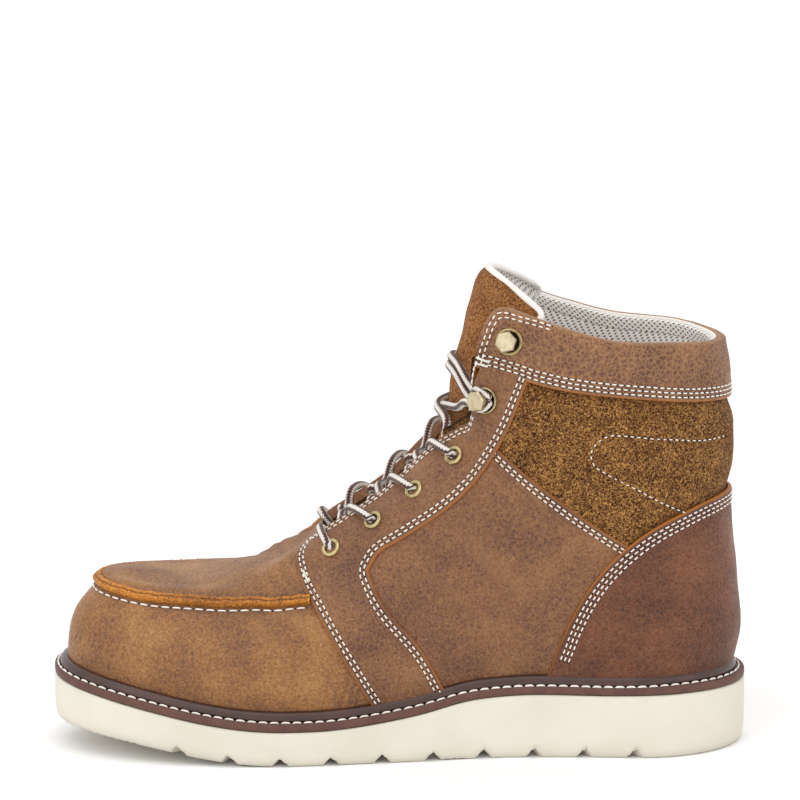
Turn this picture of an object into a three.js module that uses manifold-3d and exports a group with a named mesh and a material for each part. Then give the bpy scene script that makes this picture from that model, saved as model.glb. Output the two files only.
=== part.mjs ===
// Wedge sole work boot, right foot, as an assembly of named pieces.
// Millimetres, +Z up. The toe points to -X and the inner side of the foot faces -Y.
import * as THREE from 'three';
import { mergeVertices } from 'three/addons/utils/BufferGeometryUtils.js';
import Module from 'manifold-3d';

const wasm = await Module();
wasm.setup();

// Driving dimensions of the sole unit
const soleLength = 310;
const ballWidth = 112;
const soleAtHeel = 28.7;
const soleAtBall = 15.8;
const toeSpring = 12.6;
const toeSwing = 5;
const soleTuck = 1.6;
const lugPitch = 22.8;
const lugDepth = 5.6;
const lugMouth = 7.6;
const lugReach = 17;

// Driving dimensions of welt and insole
const weltThickness = 3.8;
const toeLedge = 6;
const heelLedge = 7.4;
const beadHeight = 4.4;
const beadWidth = 3.2;
const weltRound = 0.6;
const insoleThickness = 6;

// Driving dimensions of the upper
const toeBoxHeight = 43;
const instepHeight = 95.5;
const shaftHeight = 150;
const throatGap = 32;
const upperWall = 3;
const overlayThickness = 1.5;
const suedeThickness = 0.9;
const suedeRecess = 1.9;
const suedeLap = 2;
const collarFullness = 2.4;
const seamHeight = 3;
const tongueThickness = 6;
const tongueWrap = 27;

// Driving dimensions of the fittings and the lace
const eyeletRadius = 4.4;
const eyeletHole = 2.5;
const eyeletBarrel = 0.5;
const eyeletFlange = 1.1;
const washerRadius = 6;
const washerThickness = 1.2;
const studAcrossCorners = 9.8;
const studHead = 2.8;
const studPost = 2.1;
const studLength = 8;
const laceRadius = 1.9;

// Gap that neighbouring curved pieces keep
const gap = 0.3;

// Fineness of the faceted surfaces
const columnsPerSide = 22;
const roundSides = 10;
const cordSides = 6;

const inner = -1;
const outer = 1;

// Half-width of each ring round the foot, as a share of half the ball width
const halfRows = [
  { at: 0.00, sole: 0.89, feather: 0.79, bulge: 0.82, wall: 0.76, seam: 0.66, instep: 0.42 },
  { at: 0.15, sole: 0.95, feather: 0.84, bulge: 0.88, wall: 0.81, seam: 0.625, instep: 0.36 },
  { at: 0.32, sole: 1.00, feather: 0.885, bulge: 0.93, wall: 0.86, seam: 0.665, instep: 0.41 },
  { at: 0.50, sole: 0.865, feather: 0.755, bulge: 0.80, wall: 0.80, seam: 0.73, instep: 0.57 },
  { at: 0.65, sole: 0.72, feather: 0.635, bulge: 0.685, wall: 0.715, seam: 0.725, instep: 0.665 },
  { at: 0.75, sole: 0.71, feather: 0.62, bulge: 0.67, wall: 0.70, seam: 0.715, instep: 0.705 },
  { at: 0.87, sole: 0.735, feather: 0.65, bulge: 0.69, wall: 0.70, seam: 0.70, instep: 0.705 },
  { at: 1.00, sole: 0.72, feather: 0.64, bulge: 0.68, wall: 0.68, seam: 0.67, instep: 0.68 },
];

// Height of each ring, as a share of the upper's own height there
const heightRows = [
  { at: 0.00, feather: 0, bulge: 0.30, wall: 0.62, seam: 0.93, instep: 0.985 },
  { at: 0.15, feather: 0, bulge: 0.29, wall: 0.62, seam: 0.925, instep: 0.985 },
  { at: 0.32, feather: 0, bulge: 0.235, wall: 0.49, seam: 0.712, instep: 0.885 },
  { at: 0.50, feather: 0, bulge: 0.19, wall: 0.40, seam: 0.62, instep: 0.835 },
  { at: 0.75, feather: 0, bulge: 0.105, wall: 0.26, seam: 0.45, instep: 0.69 },
  { at: 1.00, feather: 0, bulge: 0.125, wall: 0.285, seam: 0.49, instep: 0.73 },
];

// Ends of each ring as shares of the upper's length, how far it leans to the toe at the ankle,
// the reach and power of its round toe, and its place between feather line and topline
const rings = {
  sole: { front: 0, back: 1, lean: 0, toeReach: 0.32, toePower: 2.4, heelReach: 0.15 },
  feather: { front: 0, back: 1, lean: 0, toeReach: 0.32, toePower: 2.4, heelReach: 0.15, place: 0 },
  bulge: { front: 0.001, back: 1.012, lean: 0, toeReach: 0.32, toePower: 2.4, heelReach: 0.15, place: 0.14 },
  wall: { front: 0.013, back: 1.006, lean: 0.01, toeReach: 0.29, toePower: 2.3, heelReach: 0.15, place: 0.32 },
  seam: { front: 0.049, back: 0.997, lean: 0.03, toeReach: 0.21, toePower: 2, heelReach: 0.15, place: 0.50 },
  instep: { front: 0.066, back: 1.001, lean: 0.085, toeReach: 0.2, toePower: 2, heelReach: 0.15, place: 0.73 },
};
const ringNames = ['feather', 'bulge', 'wall', 'seam', 'instep'];
const ringPlaces = [...ringNames.map((name) => rings[name].place), 1];
const toplineHeelReach = 0.17;

// How much fuller the outer side of the foot is than the inner side
const outerRows = [
  { at: 0.00, full: 1.00 },
  { at: 0.20, full: 0.975 },
  { at: 0.38, full: 1.015 },
  { at: 0.52, full: 1.06 },
  { at: 0.66, full: 1.07 },
  { at: 0.85, full: 1.01 },
  { at: 1.00, full: 1.00 },
];

// Underside and thickness of the sole unit along its length
const soleRows = [
  { at: 0.00, spring: 1.00, wedge: 0.31 },
  { at: 0.06, spring: 0.83, wedge: 0.19 },
  { at: 0.14, spring: 0.56, wedge: 0.07 },
  { at: 0.22, spring: 0.23, wedge: 0.03 },
  { at: 0.28, spring: 0.06, wedge: 0.01 },
  { at: 0.33, spring: 0, wedge: 0 },
  { at: 0.40, spring: 0, wedge: 0.02 },
  { at: 0.46, spring: 0, wedge: 0.17 },
  { at: 0.53, spring: 0, wedge: 0.46 },
  { at: 0.60, spring: 0, wedge: 0.86 },
  { at: 0.66, spring: 0, wedge: 0.99 },
  { at: 0.80, spring: 0, wedge: 0.98 },
  { at: 0.92, spring: 0, wedge: 1.03 },
  { at: 1.00, spring: 0, wedge: 1.00 },
];

const upperToe = -soleLength / 2 + toeLedge;
const upperLength = soleLength - toeLedge - heelLedge;

// Topline: over the toes it is the closed ridge, then the throat's edge, then the collar's rim
const toplineRows = [
  { at: 0.000, x: 0.095 * upperLength, half: 0, rise: 0.95 * toeBoxHeight },
  { at: 0.120, x: 0.185 * upperLength, half: 0, rise: 1.055 * toeBoxHeight },
  { at: 0.220, x: 0.275 * upperLength, half: 0, rise: 1.285 * toeBoxHeight },
  { at: 0.262, x: 0.322 * upperLength, half: 0, rise: 1.42 * toeBoxHeight },
  { at: 0.300, x: 0.365 * upperLength, half: 0, rise: 1.635 * toeBoxHeight },
  { at: 0.340, x: 0.378 * upperLength, half: 0.34 * throatGap, rise: 1.73 * toeBoxHeight },
  { at: 0.370, x: 0.392 * upperLength, half: 0.41 * throatGap, rise: 0.82 * instepHeight },
  { at: 0.430, x: 0.430 * upperLength, half: 0.43 * throatGap, rise: 0.89 * instepHeight },
  { at: 0.500, x: 0.484 * upperLength, half: 0.43 * throatGap, rise: 0.977 * instepHeight },
  { at: 0.580, x: 0.550 * upperLength, half: 0.48 * throatGap, rise: 1.12 * instepHeight },
  { at: 0.635, x: 0.596 * upperLength, half: 0.69 * throatGap, rise: 0.765 * shaftHeight },
  { at: 0.675, x: 0.613 * upperLength, half: 0.84 * throatGap, rise: 0.80 * shaftHeight },
  { at: 0.715, x: 0.618 * upperLength, half: 0.90 * throatGap, rise: 0.96 * shaftHeight },
  { at: 0.745, x: 0.630 * upperLength, half: 0.94 * throatGap, rise: 1.08 * shaftHeight },
  { at: 0.772, x: 0.651 * upperLength, half: 0.525 * ballWidth / 2, rise: 1.127 * shaftHeight },
  { at: 0.800, x: 0.683 * upperLength, half: 0.565 * ballWidth / 2, rise: 1.115 * shaftHeight },
  { at: 0.840, x: 0.742 * upperLength, half: 0.61 * ballWidth / 2, rise: 1.075 * shaftHeight },
  { at: 0.885, x: 0.820 * upperLength, half: 0.64 * ballWidth / 2, rise: 1.03 * shaftHeight },
  { at: 0.940, x: 0.915 * upperLength, half: 0.65 * ballWidth / 2, rise: 1.015 * shaftHeight },
  { at: 1.000, x: 0.981 * upperLength, half: 0.64 * ballWidth / 2, rise: 1.00 * shaftHeight },
];
const ridgeEnd = 0.30;
const ridgeFade = 0.08;

// Smooth value of one column of a table at a share, by cubics whose slopes come from the rows around
function along(rows, column, share) {
  const last = rows.length - 1;
  const t = Math.min(Math.max(share, rows[0].at), rows[last].at);
  let i = 0;
  while (i < last - 1 && t > rows[i + 1].at) i += 1;
  const secant = (k) => (rows[k + 1][column] - rows[k][column]) / (rows[k + 1].at - rows[k].at);
  const slope = (k) => {
    if (k === 0) return secant(0);
    if (k === last) return secant(last - 1);
    const before = rows[k].at - rows[k - 1].at;
    const after = rows[k + 1].at - rows[k].at;
    return (secant(k - 1) * after + secant(k) * before) / (before + after);
  };
  return hermite(rows[i].at, rows[i + 1].at, rows[i][column], rows[i + 1][column], slope(i), slope(i + 1), t);
}

// Cubic between two values with a slope at each end
function hermite(t0, t1, a, b, slopeA, slopeB, t) {
  const h = t1 - t0;
  const k = (t - t0) / h;
  const k2 = k * k;
  const k3 = k2 * k;
  return (2 * k3 - 3 * k2 + 1) * a + (k3 - 2 * k2 + k) * h * slopeA
    + (3 * k2 - 2 * k3) * b + (k3 - k2) * h * slopeB;
}

// Share of the full width that a rounded end leaves, by a superellipse
function endRound(share, reach, power) {
  const t = Math.max(0, 1 - Math.max(0, share) / reach);
  return (1 - t ** power) ** (1 / power);
}

function smoothStep(edge0, edge1, t) {
  const k = Math.min(Math.max((t - edge0) / (edge1 - edge0), 0), 1);
  return k * k * (3 - 2 * k);
}

// Share of the length at a turn of half a round, so that columns crowd at toe and heel
const shareOf = (turn) => (1 - Math.cos(Math.PI * turn)) / 2;
const turnOf = (share) => Math.acos(1 - 2 * share) / Math.PI;

const soleShare = (x) => x / soleLength + 0.5;
const soleBottom = (x) => toeSpring * Math.max(0, along(soleRows, 'spring', soleShare(x)));
const soleTop = (x) => soleBottom(x) + soleAtBall
  + (soleAtHeel - soleAtBall) * along(soleRows, 'wedge', soleShare(x));
const weltTop = (x) => soleTop(x) + gap + weltThickness;
const featherHeight = (x) => weltTop(x) + gap;

// Sideways curve of the last: the toe swings to the inner side
function lastCurve(x) {
  const ahead = Math.max(0, 0.45 - soleShare(x)) / 0.45;
  return inner * toeSwing * ahead * ahead;
}

function halfWidth(name, side, share) {
  const ring = rings[name];
  const full = side === outer ? along(outerRows, 'full', share) : 1;
  return along(halfRows, name, share) * ballWidth / 2 * full
    * endRound(share, ring.toeReach, ring.toePower) * endRound(1 - share, ring.heelReach, 2);
}

// Edge of the sole unit at a turn, seen from above
function soleEdge(side, turn, inset = 0) {
  const share = shareOf(turn);
  const half = halfWidth('sole', side, share) * (1 - inset / (ballWidth / 2));
  const x = (share - 0.5) * (soleLength - 2 * inset);
  return { x, y: side * half + lastCurve(x) };
}

// Height of the topline over the feather line
const topRise = (share) => along(toplineRows, 'rise', share);

// A point of one ring, before the last's sideways curve
function ringPoint(name, side, share) {
  const ring = rings[name];
  const lean = ring.lean * Math.sin(Math.PI * share * share);
  const x = upperToe + upperLength * (ring.front + (ring.back - ring.front) * share - lean);
  const foot = featherHeight(upperToe + upperLength * share);
  const z = foot + along(heightRows, name, share) * topRise(share);
  return [x, side * halfWidth(name, side, share), z];
}

function toplinePoint(side, share) {
  const full = side === outer ? 1 + (along(outerRows, 'full', share) - 1) * smoothStep(0.7, 0.8, share) : 1;
  const open = share <= ridgeEnd ? 0 : Math.max(0, along(toplineRows, 'half', share));
  const half = open * full * endRound(1 - share, toplineHeelReach, 2);
  const x = upperToe + along(toplineRows, 'x', share);
  const foot = featherHeight(upperToe + upperLength * share);
  return [x, side * half, foot + topRise(share)];
}

// Surface of the last with its leather: turn runs from toe to heel, place from feather to topline
function lastPoint(side, turn, place) {
  const share = shareOf(turn);
  const points = ringNames.map((name) => ringPoint(name, side, share));
  points.push(toplinePoint(side, share));
  const last = points.length - 1;
  let i = 0;
  while (i < last - 1 && place > ringPlaces[i + 1]) i += 1;
  const ridge = 1 - smoothStep(ridgeEnd - ridgeFade, ridgeEnd + ridgeFade, share);
  const position = [0, 1, 2].map((axis) => {
    const secant = (k) => (points[k + 1][axis] - points[k][axis]) / (ringPlaces[k + 1] - ringPlaces[k]);
    const slope = (k) => {
      if (k === 0) return secant(0);
      if (k === last) return axis === 1 ? secant(last - 1) : secant(last - 1) * (1 - ridge);
      const before = ringPlaces[k] - ringPlaces[k - 1];
      const after = ringPlaces[k + 1] - ringPlaces[k];
      return (secant(k - 1) * after + secant(k) * before) / (before + after);
    };
    return hermite(ringPlaces[i], ringPlaces[i + 1], points[i][axis], points[i + 1][axis],
      slope(i), slope(i + 1), place);
  });
  position[1] += lastCurve(position[0]);
  return new THREE.Vector3(...position);
}

// Outward direction of the last's surface
function lastNormal(side, turn, place) {
  const step = 0.004;
  const onRidge = place > 1 - step / 2 && shareOf(turn) <= ridgeEnd;
  const onEnd = turn < step / 2 || turn > 1 - step / 2;
  const a = lastPoint(side, Math.max(turn - step, 0), place);
  const b = lastPoint(side, Math.min(turn + step, 1), place);
  const low = lastPoint(side, turn, Math.max(place - step, 0));
  const high = lastPoint(side, turn, Math.min(place + step, 1));
  if (onRidge) {
    const run = b.sub(a);
    return new THREE.Vector3(-run.z, 0, run.x).normalize();
  }
  const rise = high.sub(low);
  if (onEnd) {
    const way = turn < 0.5 ? -1 : 1;
    return new THREE.Vector3(way * rise.z, 0, -way * rise.x).normalize();
  }
  const run = b.sub(a).multiplyScalar(-side);
  return run.cross(rise).normalize();
}

// Rows of the faceted surface between feather line and topline, shared by upper and overlays
const rowPlaces = [0, 0.06, 0.14, 0.23, 0.32, 0.41, 0.478, 0.524, 0.63, 0.75, 0.87, 1];

// A point at a height over the faceted surface: straight between the shared rows, so that layers
// stay parallel wherever they begin and end
function raised(side, turn, place, height) {
  let j = 0;
  while (j < rowPlaces.length - 2 && place > rowPlaces[j + 1]) j += 1;
  const [low, high] = [rowPlaces[j], rowPlaces[j + 1]].map((row) => lastPoint(side, turn, row)
    .addScaledVector(lastNormal(side, turn, row), height));
  return low.lerp(high, (place - rowPlaces[j]) / (rowPlaces[j + 1] - rowPlaces[j]));
}

// Turn and place of the surface point that stands at x and z in the side view
function locate(side, x, z) {
  let turn = turnOf(Math.min(Math.max((x - upperToe) / upperLength, 0.02), 0.98));
  let place = 0.6;
  const step = 0.002;
  for (let round = 0; round < 40; round += 1) {
    const here = lastPoint(side, turn, place);
    const du = lastPoint(side, turn + step, place).sub(here).divideScalar(step);
    const dv = lastPoint(side, turn, place + step).sub(here).divideScalar(step);
    const det = du.x * dv.z - dv.x * du.z;
    const missX = x - here.x;
    const missZ = z - here.z;
    turn += 0.7 * (missX * dv.z - dv.x * missZ) / det;
    place += 0.7 * (du.x * missZ - missX * du.z) / det;
    turn = Math.min(Math.max(turn, 0.01), 0.98);
    place = Math.min(Math.max(place, 0.02), 0.995);
  }
  return { turn, place };
}

// Triangles are gathered here and merged into one closed geometry
class Facets {
  constructor() {
    this.positions = [];
  }

  triangle(a, b, c) {
    this.positions.push(a.x, a.y, a.z, b.x, b.y, b.z, c.x, c.y, c.z);
  }

  quad(a, b, c, d) {
    this.triangle(a, b, c);
    this.triangle(a, c, d);
  }

  geometry() {
    const loose = new THREE.BufferGeometry();
    loose.setAttribute('position', new THREE.Float32BufferAttribute(this.positions, 3));
    return tidy(mergeVertices(loose, 1e-4));
  }
}

// Drops the triangles that merging has flattened to a line
function tidy(geometry) {
  const index = geometry.index.array;
  const kept = [];
  for (let i = 0; i < index.length; i += 3) {
    const [a, b, c] = [index[i], index[i + 1], index[i + 2]];
    if (a !== b && b !== c && c !== a) kept.push(a, b, c);
  }
  geometry.setIndex(kept);
  return geometry;
}

// Turns of the columns: even steps, with the nearest one moved to each corner of the topline
const cornerShares = [ridgeEnd, 0.34, 0.37, 0.635, 0.675, 0.745, 0.772];
const columnTurns = Array.from({ length: columnsPerSide + 1 }, (_, i) => i / columnsPerSide);
cornerShares.forEach((share) => {
  columnTurns[Math.round(turnOf(share) * columnsPerSide)] = turnOf(share);
});

// Columns run from the toe along the inner side to the heel and back along the outer side
function ringColumns() {
  const along = columnTurns.map((turn) => ({ side: inner, turn }));
  const back = columnTurns.slice(1, -1).reverse().map((turn) => ({ side: outer, turn }));
  return [...along, ...back];
}

// A closed loop of section points carried all the way round the foot
function ringLoft(section) {
  const facets = new Facets();
  const loops = ringColumns().map(({ side, turn }) => section(side, turn));
  loops.forEach((loop, i) => {
    const next = loops[(i + 1) % loops.length];
    loop.forEach((point, j) => {
      const k = (j + 1) % loop.length;
      facets.quad(point, next[j], next[k], loop[k]);
    });
  });
  return facets.geometry();
}

// A slab whose edge is given level by level from the bottom up, closed by strips across the foot
function slab(levels) {
  const facets = new Facets();
  const columns = ringColumns();
  const loops = columns.map(({ side, turn }) => levels.map((level) => level(side, turn)));
  loops.forEach((loop, i) => {
    const next = loops[(i + 1) % loops.length];
    for (let j = 0; j < levels.length - 1; j += 1) facets.quad(loop[j], next[j], next[j + 1], loop[j + 1]);
  });
  const top = levels.length - 1;
  for (let i = 0; i < columnsPerSide; i += 1) {
    const mates = [i, i + 1].map((k) => [loops[k], loops[(loops.length - k) % loops.length]]);
    const [[a, d], [b, c]] = mates;
    facets.quad(a[top], b[top], c[top], d[top]);
    facets.quad(d[0], c[0], b[0], a[0]);
  }
  return facets.geometry();
}

// A skin between two heights over the last's surface, from one place to another
function skin(low, high, from = 0, to = 1) {
  const facets = new Facets();
  const columns = ringColumns();
  const places = [from, ...rowPlaces.filter((place) => place > from && place < to), to];
  const rows = places.length - 1;
  const heightOf = (rule, turn, place) => (typeof rule === 'function' ? rule(turn, place) : rule);
  const lift = (rule) => columns.map(({ side, turn }) => places.map(
    (place) => raised(side, turn, place, heightOf(rule, turn, place)),
  ));
  const inside = lift(low);
  const outside = lift(high);
  const zipped = ({ turn }) => to === 1 && shareOf(turn) <= ridgeEnd;
  columns.forEach((column, i) => {
    const n = (i + 1) % columns.length;
    for (let j = 0; j < rows; j += 1) {
      facets.quad(outside[i][j], outside[n][j], outside[n][j + 1], outside[i][j + 1]);
      facets.quad(inside[i][j], inside[i][j + 1], inside[n][j + 1], inside[n][j]);
    }
    facets.quad(inside[i][0], inside[n][0], outside[n][0], outside[i][0]);
    if (!(zipped(column) && zipped(columns[n]))) {
      facets.quad(outside[i][rows], outside[n][rows], inside[n][rows], inside[i][rows]);
    }
  });
  return solid(facets.geometry());
}

// A closed geometry as a solid for joins and cuts, and back
function solid(geometry) {
  const plain = geometry.clone();
  plain.deleteAttribute('normal');
  plain.deleteAttribute('uv');
  const merged = tidy(mergeVertices(plain, 1e-4));
  return new wasm.Manifold(new wasm.Mesh({
    numProp: 3,
    vertProperties: new Float32Array(merged.attributes.position.array),
    triVerts: new Uint32Array(merged.index.array),
  }));
}

function geometryOf(body) {
  const mesh = body.getMesh();
  const geometry = new THREE.BufferGeometry();
  geometry.setAttribute('position', new THREE.BufferAttribute(mesh.vertProperties, mesh.numProp));
  geometry.setIndex(new THREE.BufferAttribute(mesh.triVerts, 1));
  return geometry;
}

// The largest body of a cut, without the crumbs that a cut can leave
function mainBody(body) {
  const bodies = body.decompose();
  return bodies.reduce((best, one) => (one.volume() > best.volume() ? one : best));
}

// A prism through the foot, from an outline in the side view and two places across
function prism(outline, fromY, toY) {
  const shape = new THREE.Shape(outline.map(([x, z]) => new THREE.Vector2(x, z)));
  const geometry = new THREE.ExtrudeGeometry(shape, { depth: toY - fromY, bevelEnabled: false });
  geometry.rotateX(Math.PI / 2);
  geometry.translate(0, toY, 0);
  return solid(geometry);
}

// Smooth run of points through a few corners of an outline
function smoothRun(corners, steps) {
  const curve = new THREE.CatmullRomCurve3(
    corners.map(([x, z]) => new THREE.Vector3(x, 0, z)), false, 'centripetal',
  );
  return curve.getPoints(steps).map((point) => [point.x, point.z]);
}

// Side view places: x as a share of the upper's length, z over the feather line by a named height
const sideX = (share) => upperToe + share * upperLength;
const sideZ = (height) => featherHeight(sideX(0.75)) + height;

// Outlines of the overlays in the side view
const wingFront = [
  [sideX(0.385), sideZ(0.71 * instepHeight)],
  [sideX(0.364), sideZ(0.67 * instepHeight)],
  [sideX(0.354), sideZ(0.61 * instepHeight)],
  [sideX(0.353), sideZ(0.545 * instepHeight)],
  [sideX(0.380), sideZ(0.38 * instepHeight)],
  [sideX(0.421), sideZ(0.13 * instepHeight)],
  [sideX(0.500), sideZ(-0.28 * instepHeight)],
];
const wingRear = [
  [sideX(0.591), sideZ(-0.16 * instepHeight)],
  [sideX(0.535), sideZ(0.18 * instepHeight)],
  [sideX(0.470), sideZ(0.433 * instepHeight)],
  [sideX(0.455), sideZ(0.543 * instepHeight)],
  [sideX(0.471), sideZ(0.624 * instepHeight)],
  [sideX(0.503), sideZ(0.69 * instepHeight)],
  [sideX(0.612), sideZ(0.958 * instepHeight)],
  [sideX(0.657), sideZ(0.75 * shaftHeight)],
  [sideX(0.695), sideZ(0.93 * shaftHeight)],
  [sideX(0.72), sideZ(1.08 * shaftHeight)],
];
const cuffEdge = [
  [sideX(0.55), sideZ(0.965 * shaftHeight)],
  [sideX(0.615), sideZ(0.952 * shaftHeight)],
  [sideX(0.74), sideZ(0.893 * shaftHeight)],
  [sideX(0.88), sideZ(0.857 * shaftHeight)],
  [sideX(1.02), sideZ(0.822 * shaftHeight)],
];
const counterEdge = [
  [sideX(0.712), sideZ(-0.06 * shaftHeight)],
  [sideX(0.745), sideZ(0.14 * shaftHeight)],
  [sideX(0.795), sideZ(0.325 * shaftHeight)],
  [sideX(0.87), sideZ(0.463 * shaftHeight)],
  [sideX(0.94), sideZ(0.525 * shaftHeight)],
  [sideX(1.03), sideZ(0.56 * shaftHeight)],
];
const quarterEdge = [
  [sideX(0.62), sideZ(0.765 * shaftHeight)],
  [sideX(0.695), sideZ(0.632 * shaftHeight)],
  [sideX(0.85), sideZ(0.414 * shaftHeight)],
];

const farOut = ballWidth;
const farBack = soleLength;
const beadPlace = rings.bulge.place * (gap + beadHeight) / (0.13 * shaftHeight);

// Outsole: wedge slab with a tucked side and V notches between its lugs
function outsoleGeometry() {
  const at = (inset, height) => (side, turn) => {
    const edge = soleEdge(side, turn, inset);
    return new THREE.Vector3(edge.x, edge.y, height(edge.x));
  };
  const body = slab([
    at(soleTuck, soleBottom),
    at(0.3 * soleTuck, (x) => soleBottom(x) + 0.18 * soleAtBall),
    at(0, (x) => soleBottom(x) + 0.6 * soleAtBall),
    at(0, soleTop),
  ]);
  let sole = solid(body);
  const firstLug = -0.32 * soleLength;
  const lugCount = Math.floor(0.69 * soleLength / lugPitch);
  for (let i = 0; i <= lugCount; i += 1) {
    const x = firstLug + i * lugPitch;
    const floor = soleBottom(x);
    const under = floor - 0.5 * soleTuck;
    const notch = [[x - lugMouth / 2, under], [x + lugMouth / 2, under], [x, floor + lugDepth]];
    [inner, outer].forEach((side) => {
      const edge = soleEdge(side, turnOf(soleShare(x)));
      const reach = edge.y - side * lugReach;
      const out = side * farOut;
      sole = sole.subtract(prism(notch, Math.min(reach, out), Math.max(reach, out)));
    });
  }
  return geometryOf(mainBody(sole));
}

// Welt: a strip round the foot, under the upper's edge and flush with the sole
function weltGeometry() {
  return ringLoft((side, turn) => {
    const edge = soleEdge(side, turn);
    const under = raised(side, turn, 0, -upperWall);
    const low = (p) => soleTop(p.x) + gap;
    const high = (p) => weltTop(p.x);
    const middle = (low(edge) + high(edge)) / 2;
    const round = soleEdge(side, turn, weltRound);
    return [
      new THREE.Vector3(under.x, under.y, low(under)),
      new THREE.Vector3(round.x, round.y, low(round)),
      new THREE.Vector3(edge.x, edge.y, middle),
      new THREE.Vector3(round.x, round.y, high(round)),
      new THREE.Vector3(under.x, under.y, high(under)),
    ];
  });
}

// Storm bead: a round-topped strip on the welt, close round the upper
function beadGeometry() {
  return ringLoft((side, turn) => {
    const at = (place, height) => {
      const point = raised(side, turn, place, height);
      point.z = Math.max(point.z, weltTop(point.x) + gap);
      return point;
    };
    const out = gap + beadWidth;
    return [
      at(0, gap),
      at(0, out),
      at(0.5 * beadPlace, out),
      at(beadPlace, gap + 0.45 * beadWidth),
      at(0.85 * beadPlace, gap),
    ];
  });
}

// Insole: fills the foot's outline inside the upper and the welt
function insoleGeometry() {
  const at = (inset, height) => (side, turn) => {
    const edge = raised(side, turn, 0, -upperWall - gap - inset);
    return new THREE.Vector3(edge.x, edge.y, height(edge.x));
  };
  return slab([
    at(0, (x) => soleTop(x) + gap),
    at(0, (x) => soleTop(x) + gap + 0.8 * insoleThickness),
    at(0.2 * insoleThickness, (x) => soleTop(x) + gap + insoleThickness),
  ]);
}

// Region of the suede round the ankle, in the side view
function ankleRegion(margin) {
  const quarter = smoothRun(quarterEdge, 5).slice(0, -1).map(([x, z]) => [x + 2 * margin, z + margin / 2]);
  const counter = smoothRun(counterEdge, 10).filter(([x]) => x > sideX(0.855));
  const cuff = smoothRun(cuffEdge, 8).filter(([x]) => x > sideX(0.68)).reverse();
  return [
    ...quarter,
    ...counter.map(([x, z]) => [x, z - suedeLap + margin]),
    [farBack, sideZ(0.55 * shaftHeight) + margin],
    [farBack, sideZ(0.83 * shaftHeight) - margin],
    ...cuff.map(([x, z]) => [x, z + suedeLap - margin]),
    [sideX(0.68) + 2 * margin, sideZ(0.9 * shaftHeight)],
  ];
}

// Upper: one hollow wall, with the recess of the suede panel and the holes of the eyelets
function upperBody() {
  const wall = skin(-upperWall, 0);
  const recess = skin(-suedeRecess, overlayThickness, 0.3).intersect(prism(ankleRegion(0), -farOut, farOut));
  return withEyeletHoles(withEyeletHoles(wall.subtract(recess), inner), outer);
}

function anklePanelGeometry() {
  const panel = skin(-suedeRecess + gap, -suedeRecess + gap + suedeThickness, 0.3);
  return geometryOf(mainBody(panel.intersect(prism(ankleRegion(2 * gap), -farOut, farOut))));
}

const overlayLow = gap;
const overlayHigh = gap + overlayThickness;
const wingNear = 0.36 * throatGap;

// Wing with eyestay: from the throat's edge over vamp and quarter down to the bead
function wingBody(side) {
  const outline = [
    ...smoothRun(wingFront, 8),
    ...smoothRun(wingRear, 15),
    [sideX(0.6), sideZ(1.3 * shaftHeight)],
    [sideX(0.385), sideZ(0.9 * instepHeight)],
  ];
  const under = [...smoothRun(cuffEdge, 8), [farBack, sideZ(-shaftHeight)], [-farBack, sideZ(-shaftHeight)],
    [-farBack, sideZ(shaftHeight)]];
  const lowered = under.map(([x, z]) => [x, z - gap]);
  const lay = skin(overlayLow, overlayHigh, beadPlace * 1.25);
  const half = side === inner ? [-farOut, -wingNear] : [wingNear, farOut];
  const wing = mainBody(lay.intersect(prism(outline, ...half)).intersect(prism(lowered, -farOut, farOut)));
  return withHookSeats(withEyeletHoles(wing, side), side);
}

// Plug over the toes, inside the moc seam and ahead of the wings
function plugGeometry() {
  const lay = skin(overlayLow, overlayHigh, rings.seam.place + 0.03);
  const ahead = [
    ...smoothRun(wingFront, 8).map(([x, z]) => [x - gap, z]),
    [-farBack, sideZ(-0.2 * instepHeight)],
    [-farBack, sideZ(0.9 * instepHeight)],
    [sideX(0.385) - gap, sideZ(0.9 * instepHeight)],
  ];
  const middle = [[-farBack, sideZ(0)], [sideX(0.37), sideZ(0)], [sideX(0.37), sideZ(instepHeight)],
    [-farBack, sideZ(instepHeight)]];
  const cover = prism(ahead, -farOut, farOut).add(prism(middle, gap - wingNear, wingNear - gap));
  return geometryOf(mainBody(lay.intersect(cover)));
}

// Moc seam: the raised double edge between vamp and plug
function mocSeamGeometry() {
  const place = rings.seam.place;
  const lay = skin(overlayLow, gap + seamHeight, place - 0.022, place + 0.024);
  const ahead = [
    ...smoothRun(wingFront, 8).map(([x, z]) => [x - gap, z]),
    [-farBack, sideZ(-0.2 * instepHeight)],
    [-farBack, sideZ(0.9 * instepHeight)],
  ];
  return geometryOf(mainBody(lay.intersect(prism(ahead, -farOut, farOut))));
}

// Heel counter: one piece round the heel, down to the bead
function counterGeometry() {
  const lay = skin(overlayLow, overlayHigh, beadPlace * 1.25);
  const outline = [...smoothRun(counterEdge, 10), [farBack, sideZ(0.56 * shaftHeight)],
    [farBack, sideZ(-0.3 * shaftHeight)], [sideX(0.712), sideZ(-0.3 * shaftHeight)]];
  return geometryOf(mainBody(lay.intersect(prism(outline, -farOut, farOut))));
}

// Padded collar: fullest halfway between its lower edge and the rim
function collarBody() {
  const start = 0.80;
  const full = (turn, place) => {
    const k = Math.min(Math.max((place - start - 0.02) / (1 - start - 0.02), 0), 1);
    return overlayHigh + (collarFullness - overlayThickness) * Math.sin(Math.PI * k) ** 0.6;
  };
  const lay = skin(overlayLow, full, start);
  const over = [...smoothRun(cuffEdge, 8), [farBack, sideZ(shaftHeight)], [farBack, sideZ(2 * shaftHeight)],
    [sideX(0.55), sideZ(2 * shaftHeight)]];
  const collar = mainBody(lay.intersect(prism(over, -farOut, farOut)));
  return withHookSeats(withHookSeats(collar, inner), outer);
}

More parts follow.
